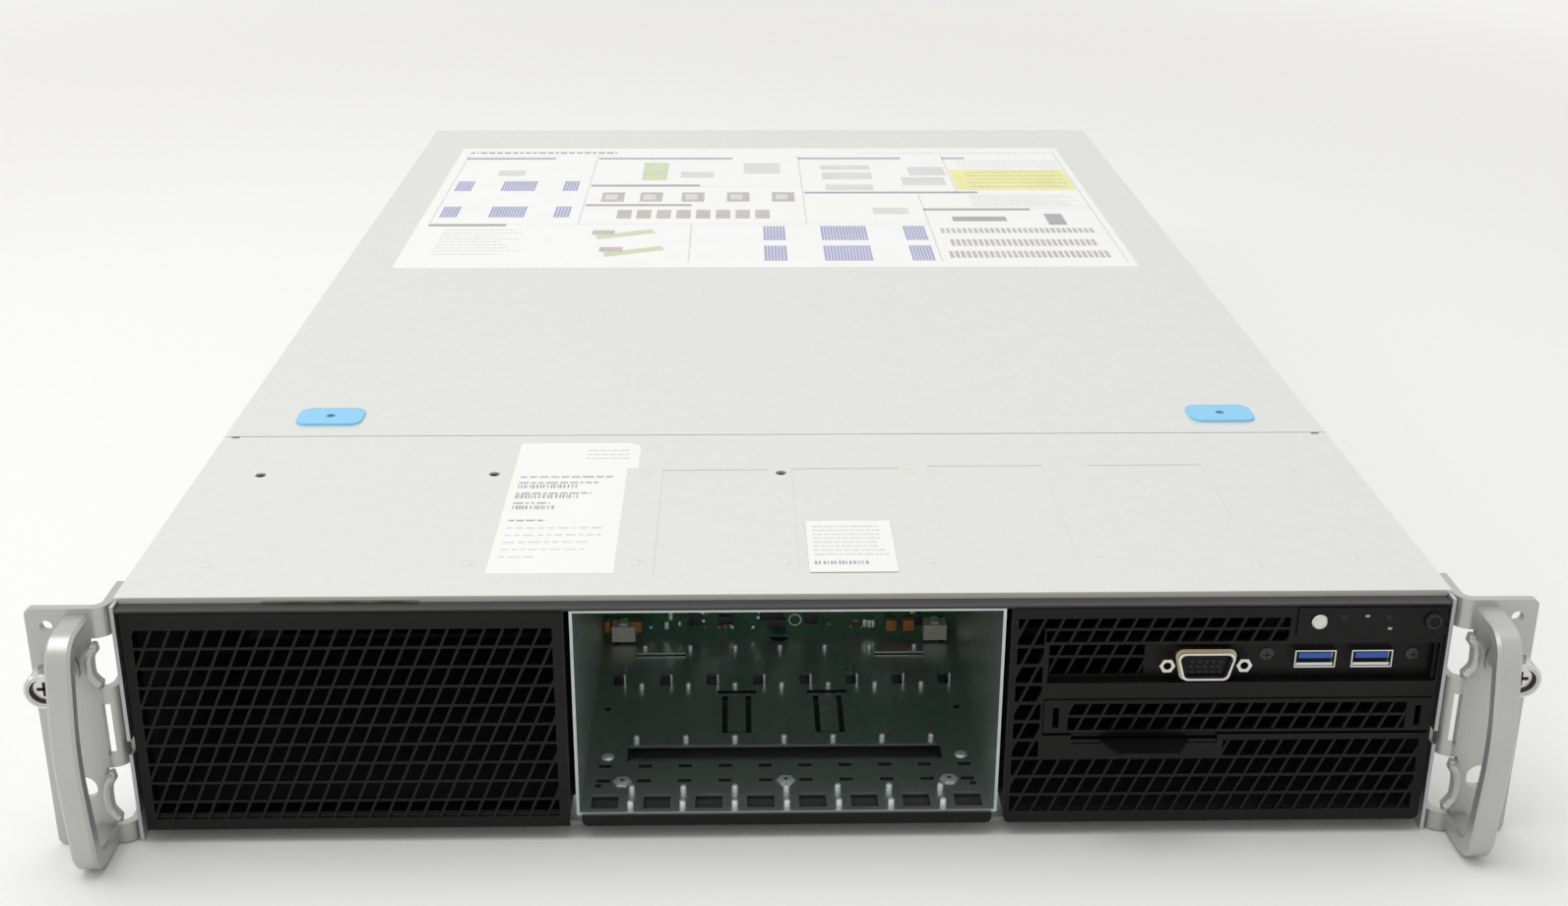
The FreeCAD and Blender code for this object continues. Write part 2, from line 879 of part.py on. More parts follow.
def make_service_panel():
    """Right bay's panel: mesh round the openings for controls, ports, slim bay and tag."""
    body = new_body(service_x, front)
    half = size.panel_width / 2
    face = sketch(body, "XZ")
    draw_outline(face, [
        (-half, size.panel_bottom), (half, size.panel_bottom), (half, size.control_bottom),
        (size.control_left, size.control_bottom), (size.control_left, cage_top),
        (-half, cage_top)])
    draw_box(face, (size.io_left, size.io_right), (size.io_bottom, size.io_top))
    draw_outline(face, [
        (size.slim_left, size.slim_bottom), (size.tag_left, size.slim_bottom),
        (size.tag_left, size.tag_slot_bottom), (size.tag_right, size.tag_slot_bottom),
        (size.tag_right, size.slim_bottom), (half - size.mesh_bar, size.slim_bottom),
        (half - size.mesh_bar, size.slim_top), (size.slim_left, size.slim_top)])
    left = size.mesh_side / 2 - half
    for row in range(10):
        bottom = size.panel_mesh_first + row * size.panel_mesh_rise
        right = half - size.mesh_side if row < 3 else size.column_right
        draw_mesh_row(face, left, right, bottom, bottom + size.panel_mesh_hole)
    bottom = size.panel_mesh_first + 3 * size.panel_mesh_rise
    draw_mesh_row(face, size.tag_right + size.mesh_bar * 2, half - size.mesh_side, bottom,
                  bottom + size.panel_mesh_hole)
    bottom = size.io_top + size.mesh_bar
    right = size.control_left - size.mesh_bar * 2
    draw_mesh_row(face, size.io_left - size.mesh_bar, right, bottom,
                  bottom + size.panel_mesh_hole * 0.7)
    bottom = size.panel_mesh_first + 10 * size.panel_mesh_rise - size.mesh_bar
    draw_mesh_row(face, left, right, bottom, bottom + size.panel_mesh_hole * 0.6)
    pad(body, face, size.panel_steel, backward=True)
    round_edges(body, size.panel_corner, lambda edge: runs_along(edge, "y")
                and edge.CenterOfMass.z < float(size.panel_bottom) + 0.01)
    return keep("service_panel", body)


def make_control_panel():
    """Small housing with the two buttons."""
    half = size.panel_width / 2
    z = size.button_z
    start = front - size.control_proud
    left = service_x + size.control_left + size.panel_gap
    low = size.control_bottom + size.panel_gap
    face = block((left, service_x + half), (start, front + size.panel_steel),
                 (low, cage_top - size.panel_gap))
    behind = block((left - size.control_lip, service_x + size.bay_inner / 2 - size.panel_gap),
                   (front + size.panel_steel, front + size.control_depth),
                   (low - size.control_lip, size.bay_roof - size.panel_gap))
    holes = []
    for x, radius in ((size.id_button_x, size.id_button_radius),
                      (size.power_button_x, size.power_button_radius)):
        holes.append(rod(radius + size.button_fit, size.control_depth, service_x + x,
                         start, z))
    return keep("control_panel", cut(join(face, behind), *holes))


def make_button(label, x, radius):
    """Round push button with a bevelled face."""
    body = new_body(service_x + x, front - size.control_proud, size.button_z)
    length = size.control_depth / 2
    bevel = size.button_flange / 2
    profile = sketch(body, "YZ")
    draw_outline(profile, [(-size.button_proud, 0), (-size.button_proud, radius - bevel),
                           (bevel - size.button_proud, radius), (length, radius), (length, 0)])
    revolve(body, profile, "H_Axis")
    return keep(label, body)


def make_io_plate():
    """Shallow tray behind the port opening, with a mesh in its left part."""
    body = new_body(service_x, front)
    left = size.io_left
    right = size.bay_inner / 2 - size.panel_gap
    skin = size.io_steel
    outer = ((left - skin, right), (size.io_bottom - skin, size.io_top + skin))
    plate = sketch(body, "XZ", -size.io_setback)
    draw_box(plate, *outer)
    hole = size.panel_mesh_hole
    for bottom in (size.plate_mesh_bottom, size.plate_mesh_bottom + hole + size.mesh_bar):
        draw_mesh_row(plate, left + skin, size.plate_mesh_right, bottom, bottom + hole)
    pad(body, plate, skin, backward=True)
    walls = sketch(body, "XZ", -size.panel_steel)
    draw_box(walls, *outer)
    draw_box(walls, (left, right - skin), (size.io_bottom, size.io_top))
    pad(body, walls, size.io_setback, backward=True)
    return keep("io_plate", body)


def make_vga():
    """Video socket: a D-shaped shell round a plastic insert."""
    near = front + size.io_setback
    body = new_body(service_x + size.vga_x, near, size.vga_z)
    skin = size.vga_shell
    shell = sketch(body, "XZ")
    draw_socket(shell, size.vga_shell_width / 2, size.vga_shell_height / 2)
    pad(body, shell, size.vga_shell_proud)
    round_edges(body, skin * 2, lambda edge: runs_along(edge, "y"))
    well = sketch(body, "XZ", size.vga_shell_proud)
    draw_socket(well, size.vga_shell_width / 2 - skin, size.vga_shell_height / 2 - skin)
    pocket(body, well, size.vga_well)
    return keep("video_socket", body)


def draw_socket(drawing, wide, tall):
    """D-shaped outline, wider at the top."""
    draw_outline(drawing, [(tall / 2 - wide, -tall), (wide - tall / 2, -tall),
                           (wide, tall), (-wide, tall)])


def make_jackscrews():
    """Two hexagonal posts that hold a plug."""
    near = front + size.io_setback
    posts = []
    for side in (-1, 1):
        body = new_body(service_x + size.vga_x + side * size.vga_screw_spacing / 2,
                        near, size.vga_z)
        outline = sketch(body, "XZ")
        corners = []
        for corner in range(6):
            turn = math.radians(60 * corner)
            corners.append((size.jackscrew_radius * math.cos(turn),
                            size.jackscrew_radius * math.sin(turn)))
        draw_outline(outline, corners)
        draw_circle(outline, 0, 0, size.jackscrew_radius / 2)
        pad(body, outline, size.jackscrew_length)
        posts.append(body)
    return keep("video_jackscrews", group(*posts))


def make_usb_ports():
    """Two stacked shells, each open to the front around its tongue."""
    near = front + size.io_setback - size.usb_depth / 4
    ports = []
    for step in range(2):
        x = service_x + size.usb_x + step * size.usb_pitch
        half = size.usb_width / 2
        low = size.usb_z - size.usb_height / 2
        high = size.usb_z + size.usb_height / 2
        skin = size.usb_shell
        shell = block((x - half, x + half), (near, near + size.usb_depth / 4), (low, high))
        hollow = block((x - half + skin, x + half - skin), (near, near + size.usb_depth / 5),
                       (low + skin, high - skin))
        ports.append(cut(shell, hollow))
    return keep("usb_ports", group(*ports))


def make_slim_filler():
    """Cover of the slim drive bay with two mesh rows and a latch slot at each end."""
    body = new_body(service_x, front - size.slim_proud)
    half = size.panel_width / 2
    left = size.slim_left + size.panel_gap
    right = half - size.mesh_bar - size.panel_gap
    face = sketch(body, "XZ")
    draw_box(face, (left, right), (size.slim_plate_bottom, size.slim_top - size.panel_gap))
    middle = (size.slim_plate_bottom + size.slim_top) / 2
    inset = size.mesh_side * 2.4
    bar = size.mesh_bar / 2
    draw_mesh_row(face, left + inset, right - inset, size.slim_plate_bottom + size.mesh_bar,
                  middle - bar)
    draw_mesh_row(face, left + inset, right - inset, middle + bar,
                  size.slim_top - size.mesh_bar * 1.6)
    for x in (left + inset / 2, right - inset / 2):
        draw_box(face, (x - size.mesh_bar, x + size.mesh_bar),
                 (size.slim_plate_bottom + size.mesh_bar * 2, size.slim_top - size.mesh_bar * 3))
    pad(body, face, size.slim_proud + size.panel_steel, backward=True)
    frame = sketch(body, "XZ", -size.slim_proud - size.panel_steel)
    rim = size.collar_steel
    draw_box(frame, (left - rim, right), (size.slim_bottom - rim, size.slim_top + rim))
    draw_box(frame, (left, right - rim), (size.slim_bottom, size.slim_top))
    pad(body, frame, size.slim_depth, backward=True)
    webs = sketch(body, "XZ", -size.slim_proud)
    draw_box(webs, (left, left + rim), (size.slim_plate_bottom, size.slim_top - size.panel_gap))
    draw_box(webs, (right - rim, right),
             (size.slim_plate_bottom, size.slim_top - size.panel_gap))
    pad(body, webs, size.slim_depth, backward=True)
    return keep("slim_bay_filler", body)


def make_asset_tag():
    """Pull-out tag: a thin tray with a bevelled tab."""
    body = new_body(service_x, front, size.tag_z)
    outline = sketch(body, "XY")
    left = size.tag_left + size.panel_gap * 2
    right = size.tag_right - size.panel_gap * 2
    draw_outline(outline, [
        (left, 0), (size.tab_root_left, 0),
        (size.tab_root_left + size.tab_bevel, -size.tab_reach),
        (size.tab_root_right - size.tab_bevel, -size.tab_reach), (size.tab_root_right, 0),
        (right, 0), (right, size.tag_depth), (left, size.tag_depth)])
    pad(body, outline, size.tag_thickness)
    return keep("asset_tag", body)


def make_tag_guide():
    """Ledge behind the service panel that the asset tag slides over."""
    top = size.tag_z
    ledge = block((service_x + size.tag_left - size.collar_steel,
                   service_x + size.tag_right + size.collar_steel),
                  (front + size.panel_steel, front + size.tag_depth * 0.8),
                  (top - size.collar_steel * 1.4, top))
    return keep("tag_guide", ledge)


# ---------------------------------------------------------------------------------------
# Rack handles
# ---------------------------------------------------------------------------------------

def make_left_handle():
    """Cast bracket: ear, bend and side flange in one, with windows, hooks and the grip."""
    body = new_body(0, front)
    thick = size.ear_steel
    bend = size.ear_bend
    root = half_width + bend
    plan = sketch(body, "XY", size.ear_bottom)
    turn = math.sqrt(0.5)
    depth = size.ear_flange_depth
    inner = bend - thick
    draw_loop(plan, [
        [(-ear_x, 0), (-root, 0)],
        [(-root, 0), (bend * turn - root, bend - bend * turn), (-half_width, bend)],
        [(-half_width, bend), (-half_width, depth)],
        [(-half_width, depth), (-half_width - thick, depth)],
        [(-half_width - thick, depth), (-half_width - thick, bend)],
        [(-half_width - thick, bend), (inner * turn - root, bend - inner * turn),
         (-root, thick)],
        [(-root, thick), (-ear_x, thick)],
        [(-ear_x, thick), (-ear_x, 0)]])
    pad(body, plan, size.ear_height)
    round_edges(body, size.ear_corner, lambda edge: runs_along(edge, "y")
                and edge.CenterOfMass.x < -float(ear_x) + 0.01)
    windows = sketch(body, "XZ", -bend * 2)
    for low, high in ((size.low_window_bottom, size.low_window_top),
                      (size.high_window_bottom, size.high_window_top)):
        draw_box(windows, (-half_width - size.window_reach, -half_width + 1), (low, high))
    draw_box(windows, (-root, size.link_slot_width - root),
             (size.link_slot_bottom, size.link_slot_top))
    pocket(body, windows, bend * 2, backward=True)
    holes = sketch(body, "XZ")
    draw_circle(holes, -size.pilot_hole_x, size.pilot_hole_z, size.pilot_hole_radius)
    draw_circle(holes, -size.access_hole_x, size.access_hole_z, size.access_hole_radius)
    draw_circle(holes, -screw_x, size.thumbscrew_z, size.screw_shank_radius + size.running_fit)
    pocket(body, holes)
    add_grip(body)
    add_hooks(body)
    return keep("rack_handle_left", body)


def add_grip(body):
    """Bowed strap handle in front of the ear."""
    reach = size.grip_reach
    strap = size.grip_strap
    top = size.grip_top
    low = size.grip_bottom
    middle = (top + low) / 2 + size.grip_strap
    bowed = reach + size.grip_bow
    side = sketch(body, "YZ", -size.grip_inner - size.grip_width)
    draw_rounded(side, [
        (0, top, 0), (size.grip_lean - reach, top, size.grip_bend), (-bowed, middle, size.grip_sweep),
        (-reach, low, size.grip_bend), (0, low, 0),
        (0, low + size.grip_foot, 0),
        (strap + 1 - reach, low + size.grip_foot, size.grip_bend / 2),
        (strap - bowed, middle, size.grip_sweep),
        (strap + size.grip_lean - reach, top - strap, size.grip_bend / 2), (0, top - strap, 0)])
    pad(body, side, size.grip_width)
    bevel_edges(body, size.grip_edge, lambda edge: edge.BoundBox.YMin < -1
                and edge.BoundBox.XLength < 1e-3)


def add_hooks(body):
    """Raised S-shaped ribs beside the two windows."""
    wide = size.hook_width
    root = -half_width - size.window_reach
    ribs = sketch(body, "XZ")
    for low, high in ((size.low_window_bottom + 3, size.low_window_top - 1),
                      (size.high_window_bottom + 1, size.high_window_top - 2)):
        draw_outline(ribs, [
            (root - wide, low), (root + wide, low), (root + wide, low + wide),
            (root, low + wide), (root, high - wide * 2), (root + wide, high - wide),
            (root + wide, high), (root, high), (root - wide, high - wide * 1.6)])
    pad(body, ribs, size.hook_proud)


def make_right_handle(left_handle):
    """The left handle's mirror image."""
    twin = doc.addObject("Part::Mirroring", "mirror")
    twin.Source = left_handle
    twin.Normal = vector(1, 0, 0)
    return keep("rack_handle_right", twin)


def make_ferrule(side, name):
    """Collar that holds the captive screw on its ear."""
    body = new_body(side * screw_x, front, size.thumbscrew_z)
    bore = size.screw_shank_radius + size.running_fit
    tip = size.screw_head_length + size.end_play - size.screw_head_front
    profile = sketch(body, "YZ")
    draw_outline(profile, [
        (0, bore), (0, size.ferrule_flange_radius),
        (-size.ferrule_flange, size.ferrule_flange_radius),
        (-size.ferrule_flange, size.ferrule_radius), (tip, size.ferrule_radius), (tip, bore)])
    revolve(body, profile, "H_Axis")
    return keep("thumbscrew_ferrule_" + name, body)


def make_thumbscrew(side, name):
    """Captive screw: barrel head with a raised rim, and a long shank."""
    body = new_body(side * screw_x, front, size.thumbscrew_z)
    head = size.screw_head_radius
    tip = -size.screw_head_front
    rim = head * 0.8
    profile = sketch(body, "YZ")
    draw_outline(profile, [
        (tip + 2, 0), (tip + 2, rim), (tip, rim), (tip, head - 0.6), (tip + 0.6, head),
        (tip + size.screw_head_length, head),
        (tip + size.screw_head_length, size.screw_shank_radius),
        (size.ear_steel, size.screw_shank_radius), (size.ear_steel, size.screw_thread_radius),
        (size.screw_shank_length, size.screw_thread_radius), (size.screw_shank_length, 0)])
    revolve(body, profile, "H_Axis")
    return keep("thumbscrew_" + name, body)


# ---------------------------------------------------------------------------------------
# Backplane and fans
# ---------------------------------------------------------------------------------------

def make_backplane():
    """Circuit board across the back of the open bay."""
    near = front + size.bay_depth
    return keep("drive_backplane", block((-cage_half, cage_half),
                                         (near, near + size.backplane_thickness),
                                         (cage_bottom, size.backplane_top)))


def make_backplane_sockets():
    """Two sockets low on the backplane, one at each side."""
    near = front + size.bay_depth
    sockets = []
    for side in (-1, 1):
        x = side * (size.bay_inner / 2 - size.socket_from_side)
        half = size.socket_width / 2
        sockets.append(block((x - half, x + half), (near - size.socket_depth, near),
                             (size.bay_floor + 1, size.bay_floor + 1 + size.socket_height)))
    return keep("backplane_sockets", group(*sockets))


def fan_centre(number):
    """Middle of one fan in the row."""
    middle = (float(size.fan_count) - 1) / 2
    return size.fan_pitch * (number - middle), size.wall_steel + size.fan_plate + size.fan_size / 2


def make_fan_tray():
    """Folded tray that carries the fans."""
    left = size.fan_pitch * -2
    right = size.fan_pitch * 2
    near = front + size.fan_front - 2
    far = near + size.fan_depth + 4
    return keep("fan_tray", block((left, right), (near, far),
                                  (size.wall_steel, size.wall_steel + size.fan_plate)))


def make_fan_housing(number):
    """Square fan frame with a round duct, and a spoked motor mount."""
    x, z = fan_centre(number)
    half = size.fan_size / 2
    near = front + size.fan_front
    far = near + size.fan_depth
    frame = block((x - half, x + half), (near, far), (z - half, z + half))
    ring = cut(frame, rod(size.fan_bore / 2, size.fan_depth, x, near, z))
    spoke = size.fan_spoke / 2
    arms = (block((x - half + 1, x + half - 1), (far - size.fan_plate, far),
                  (z - spoke, z + spoke)),
            block((x - spoke, x + spoke), (far - size.fan_plate, far),
                  (z - half + 1, z + half - 1)))
    shaft = rod(size.fan_shaft_radius, size.fan_depth / 2, x, far - size.fan_depth / 2, z)
    return join(ring, *arms, shaft)


def make_fan_rotor(number):
    """Hub with flat blades set at an angle, spinning on the housing's shaft."""
    x, z = fan_centre(number)
    near = front + size.fan_front + 3
    length = size.fan_depth - size.fan_plate - 6
    hub = rod(size.fan_hub_radius, length, x, near, z)
    bore_start = front + size.fan_front + size.fan_depth / 2 - size.end_play
    bore = rod(size.fan_shaft_radius + size.running_fit, size.fan_depth, x, bore_start, z)
    tip = size.fan_bore / 2 - size.fan_tip_gap
    span = tip - size.fan_hub_radius + 2
    count = int(float(size.fan_blades))
    blades = []
    for step in range(count):
        turn = 360.0 * step / count
        blade = doc.addObject("Part::Box", "blade")
        bind(blade, Length=span, Width=size.fan_blade, Height=length * 0.7)
        tilt = FreeCAD.Rotation(vector(1, 0, 0), float(size.fan_blade_angle) - 90)
        start = vector(float(tip - span), -float(length) * 0.22, float(length) * 0.12)
        spin = FreeCAD.Rotation(vector(0, 1, 0), turn)
        centre = vector(float(x), float(near + length / 2), float(z))
        blade.Placement = FreeCAD.Placement(centre + spin.multVec(start), spin * tilt)
        blades.append(blade)
    sweep = doc.addObject("Part::MultiCommon", "sweep")
    sweep.Shapes = [join(*blades), rod(tip, size.fan_depth, x, near - 3, z)]
    return keep(f"fan_rotor_{number + 1}", cut(join(hub, sweep), bore))


# ---------------------------------------------------------------------------------------
# System board and what stands on it
# ---------------------------------------------------------------------------------------

def make_board():
    """Main circuit board."""
    low = size.board_top - size.board_thickness
    return keep("system_board", block((size.board_left, size.board_right),
                                      (front + size.board_front, back - size.board_from_back),
                                      (low, size.board_top)))


def make_standoffs():
    """Hexagonal posts between the pan and the board."""
    posts = []
    inset = size.standoff_radius * 2
    near = front + size.board_front + inset
    far = back - size.board_from_back - inset
    length = size.board_top - size.board_thickness - size.wall_steel
    for x in (size.board_left + inset, (size.board_left + size.board_right) / 2,
              size.board_right - inset):
        for y in (near, (near + far) / 2, far):
            post = doc.addObject("Part::Prism", "post")
            bind(post, Circumradius=size.standoff_radius, Height=length)
            posts.append(move(post, x, y, size.wall_steel))
    return keep("board_standoffs", group(*posts))


def make_cooler(side, name):
    """Processor heat sink: a base with upright fins."""
    x = side * size.cooler_offset - size.cooler_lift * 6
    half = size.cooler_width / 2
    near = front + size.cooler_front
    far = near + size.cooler_length
    low = size.board_top
    base = block((x - half, x + half), (near, far), (low, low + size.cooler_lift))
    fins = []
    count = int(float(size.cooler_fins))
    gap = (size.cooler_width - size.fin_thickness) / (count - 1)
    for step in range(count):
        left = x - half + gap * step
        fins.append(block((left, left + size.fin_thickness), (near, far),
                          (low + size.cooler_lift, low + size.cooler_lift + size.cooler_height)))
    return keep("processor_cooler_" + name, join(base, *fins))


def bank_offsets():
    """Middle of each memory socket across the board."""
    centre = -size.cooler_lift * 6
    offsets = []
    for start in (centre - size.cooler_offset - size.cooler_width / 2 - size.module_pitch * 4,
                  centre - size.module_pitch * 1.5,
                  centre + size.cooler_offset + size.cooler_width / 2 + size.module_pitch):
        for step in range(int(float(size.module_bank))):
            offsets.append(start + size.module_pitch * step)
    return offsets


def make_memory():
    """Memory modules in their sockets."""
    near = front + size.module_front
    half = size.module_thickness / 2
    sockets = []
    modules = []
    for x in bank_offsets():
        sockets.append(block((x - size.module_socket / 2, x + size.module_socket / 2),
                             (near - 5, near + size.module_length + 5),
                             (size.board_top, size.board_top + size.socket_wall)))
        modules.append(block((x - half, x + half), (near, near + size.module_length),
                             (size.board_top + size.socket_wall,
                              size.board_top + size.socket_wall + size.module_height)))
    keep("memory_sockets", group(*sockets))
    return keep("memory_modules", group(*modules))


# ---------------------------------------------------------------------------------------
# Rear wall and power supplies
# ---------------------------------------------------------------------------------------

def make_rear_wall():
    """Rear sheet with openings for the supplies, ports, expansion slots and air."""
    body = new_body(0, back - size.wall_steel)
    face = sketch(body, "XZ")
    edge = wall_inside - size.sheet_gap * 5
    draw_box(face, (-edge, edge), (size.wall_steel, lid_underside - size.sheet_gap))
    fit = size.supply_fit
    draw_box(face, (size.supply_left - fit, size.supply_left + size.supply_width + fit),
             (size.supply_low - fit,
              size.supply_low + 2 * size.supply_height + size.supply_gap + fit))
    draw_box(face, (size.port_left, size.port_right),
             (size.port_bottom, size.port_bottom + size.port_height))
    for left, bottom, count in ((size.riser_a_left, size.riser_a_bottom, 3),
                                (size.riser_b_left, size.riser_b_bottom, 2)):
        for step in range(count):
            low = bottom + size.slot_cover_pitch * step
            draw_box(face, (left + 1, left + size.slot_cover_width - 1),
                     (low + 1, low + size.slot_cover_height - 1))
    for step in range(int(float(size.vent_count))):
        left = size.vent_left + size.vent_pitch * step
        draw_box(face, (left, left + size.vent_width),
                 (size.riser_b_bottom + 2, size.riser_b_bottom + size.slot_cover_pitch * 2))
    pad(body, face, size.wall_steel, backward=True)
    return keep("rear_wall", body)


def make_slot_covers():
    """Blank plates over the expansion slots."""
    covers = []
    near = back - size.wall_steel - size.shelf_steel
    for left, bottom, count in ((size.riser_a_left, size.riser_a_bottom, 3),
                                (size.riser_b_left, size.riser_b_bottom, 2)):
        for step in range(count):
            low = bottom + size.slot_cover_pitch * step
            covers.append(block((left, left + size.slot_cover_width),
                                (near, near + size.shelf_steel),
                                (low, low + size.slot_cover_height)))
    return keep("slot_covers", group(*covers))


def supply_floor(number):
    """Underside of one supply in the stack."""
    return size.supply_low + number * (size.supply_height + size.supply_gap)


def make_supply_shelf():
    """Shelf and inner wall of the supply bay."""
    left = size.supply_left - size.supply_fit
    start = back - size.wall_steel - size.supply_depth - size.supply_fit
    wall = block((left - size.shelf_steel, left), (start, back - size.wall_steel),
                 (size.wall_steel, lid_underside - size.sheet_gap * 2))
    top = supply_floor(1)
    shelf = block((left - size.shelf_steel, wall_inside - size.sheet_gap * 2),
                  (start, back - size.wall_steel), (top - size.shelf_steel, top))
    pan = block((left - size.shelf_steel, wall_inside - size.sheet_gap * 2),
                (start, back - size.wall_steel), (size.wall_steel, size.supply_low))
    return keep("supply_bay", join(wall, shelf, pan))


def make_supply(number):
    """Power supply: a box with a mains inlet, a round air outlet and a slot for its latch."""
    low = supply_floor(number)
    left = size.supply_left
    case = block((left, left + size.supply_width), (back - size.supply_depth, back),
                 (low, low + size.supply_height))
    middle = low + size.supply_height / 2
    inlet_left = left + size.wall_steel * 2
    inlet_low = middle - size.inlet_height / 2
    inlet = block((inlet_left, inlet_left + size.inlet_width),
                  (back - size.inlet_depth, back), (inlet_low, inlet_low + size.inlet_height))
    outlet = rod(size.outlet_radius, size.outlet_depth, outlet_x(), back - size.outlet_depth,
                 middle)
    stem = stem_span()
    slot = block((stem[0] - size.latch_travel - size.running_fit, stem[1] + size.running_fit),
                 (back - size.outlet_depth, back),
                 (middle - size.bail_steel - size.running_fit,
                  middle + size.bail_steel + size.running_fit))
    return keep(f"power_supply_{number + 1}", cut(case, inlet, outlet, slot))


def outlet_x():
    """Middle of a supply's air outlet across the chassis."""
    return size.supply_left + size.supply_width - size.latch_width * 1.5 - size.outlet_radius


def stem_span():
    """Left and right side of a latch's stem."""
    right = size.supply_left + size.supply_width - size.wall_steel * 2
    return right - size.latch_width / 2, right


def make_supply_grip(number):
    """Fixed pull handle that stands between the inlet and the outlet."""
    middle = supply_floor(number) + size.supply_height / 2
    right = size.supply_left + size.wall_steel * 3 + size.inlet_width + size.bail_steel
    body = new_body(right, back, middle)
    side = sketch(body, "YZ")
    half = size.bail_width / 2
    reach = size.bail_reach
    thick = size.bail_steel
    bend = size.bail_bend
    draw_rounded(side, [
        (0, half, 0), (reach, half, bend), (reach, -half, bend), (0, -half, 0),
        (0, thick - half, 0), (reach - thick, thick - half, bend - thick),
        (reach - thick, half - thick, bend - thick), (0, half - thick, 0)])
    pad(body, side, thick)
    return keep(f"supply_grip_{number + 1}", body)


def make_supply_latch(number):
    """Thumb latch with a stem in the supply's slot."""
    middle = supply_floor(number) + size.supply_height / 2
    left, right = stem_span()
    stem = block((left, right), (back - size.outlet_depth + size.running_fit, back + 1),
                 (middle - size.bail_steel, middle + size.bail_steel))
    tab = block((right - size.latch_width, right),
                (back + size.running_fit, back + size.running_fit + size.latch_width),
                (middle - size.latch_height / 2, middle + size.latch_height / 2))
    return keep(f"supply_latch_{number + 1}", join(stem, tab))


# ---------------------------------------------------------------------------------------
# Sockets, riser cards and air duct behind the fans
# ---------------------------------------------------------------------------------------

def rear_sockets():
    """Left edge, width and height of each socket along the board's back edge."""
    stack = size.usb_width + size.port_skin * 2
    tall = size.port_height * 0.8
    sockets = [(size.stack_left, stack, tall)]
    for step in range(4):
        sockets.append((size.jack_first + size.jack_pitch * step, size.jack_width,
                        size.jack_height))
    sockets.append((size.rear_video_left, size.rear_video_width, size.rear_video_height))
    sockets.append((size.rear_video_left + size.jack_pitch * 2, stack, tall))
    return sockets


def make_rear_ports():
    """Sockets that stand on the board and reach through the shield."""
    ports = []
    far = back - size.sheet_gap
    near = far - size.port_depth
    skin = size.port_skin
    for left, width, height in rear_sockets():
        low = size.board_top
        shell = block((left, left + width), (near, far), (low, low + height))
        well = block((left + skin, left + width - skin), (far - size.port_well, far),
                     (low + skin, low + height - skin))
        ports.append(cut(shell, well))
    return keep("rear_ports", group(*ports))


def make_port_shield():
    """Plate behind the rear wall with an opening round each socket."""
    body = new_body(0, back - size.wall_steel - size.shelf_steel)
    face = sketch(body, "XZ")
    margin = size.shelf_steel
    draw_box(face, (size.port_left - margin, size.port_right + margin),
             (size.port_bottom - margin, size.port_bottom + size.port_height + margin))
    gap = size.sheet_gap
    for left, width, height in rear_sockets():
        draw_box(face, (left - gap, left + width + gap),
                 (size.board_top - gap, size.board_top + height + gap))
    pad(body, face, size.shelf_steel, backward=True)
    return keep("rear_port_shield", body)


def make_risers():
    """Two upright cards in sockets on the board, beside the expansion slots."""
    cards = []
    far = back - size.riser_from_back
    near = far - size.riser_length
    low = size.board_top
    for left in (size.riser_a_left + size.slot_cover_width, size.riser_b_left
                 + size.slot_cover_width):
        card = block((left, left + size.riser_thickness), (near, far),
                     (low, low + size.riser_height))
        foot = block((left - size.riser_thickness * 2, left + size.riser_thickness * 3),
                     (near + size.socket_wall, far - size.socket_wall),
                     (low, low + size.socket_wall))
        cards.append(join(card, foot))
    return keep("riser_cards", group(*cards))


def make_air_duct():
    """Cover over the processors and memory, open to the fans and at its far end."""
    skin = size.duct_steel
    across = (size.board_left + skin * 3, size.board_right - skin)
    near = front + size.board_front + skin
    far = near + size.duct_length
    top = size.board_top + size.duct_height
    outer = block(across, (near, far), (size.board_top, top))
    inner = block((across[0] + skin, across[1] - skin), (near, far),
                  (size.board_top, top - skin))
    return keep("air_duct", cut(outer, inner))


# ---------------------------------------------------------------------------------------
# Build, check and write
# ---------------------------------------------------------------------------------------

def build():
    """Makes every sub-part."""
    make_chassis_base()
    make_front_top_panel()
    make_top_cover()
    make_thumb_pads()
    make_cage("drive_cage_left", -size.bay_pitch, False)
    make_cage("drive_cage_middle", 0, True)
    make_cage("drive_cage_right", size.bay_pitch, False)
    make_cage_rails()
    make_top_rail()
    make_bay_sill()
    make_left_filler()
    make_service_panel()
    make_control_panel()
    make_button("id_button", size.id_button_x, size.id_button_radius)
    make_button("power_button", size.power_button_x, size.power_button_radius)
    make_io_plate()
    make_vga()
    make_jackscrews()
    make_usb_ports()
    make_slim_filler()
    make_asset_tag()
    make_tag_guide()
    make_right_handle(make_left_handle())
    for side, name in ((-1, "left"), (1, "right")):
        make_ferrule(side, name)
        make_thumbscrew(side, name)
    make_backplane()
    make_backplane_sockets()
    make_fan_tray()
    fans = range(int(float(size.fan_count)))
    keep("fan_housings", group(*[make_fan_housing(number) for number in fans]))
    for number in fans:
        make_fan_rotor(number)
    make_board()
    make_standoffs()
    make_cooler(-1, "left")
    make_cooler(1, "right")
    make_memory()
    make_rear_wall()
    make_slot_covers()
    make_supply_shelf()
    for number in range(2):
        make_supply(number)
        make_supply_grip(number)
        make_supply_latch(number)
    make_rear_ports()
    make_port_shield()
    make_risers()
    make_air_duct()


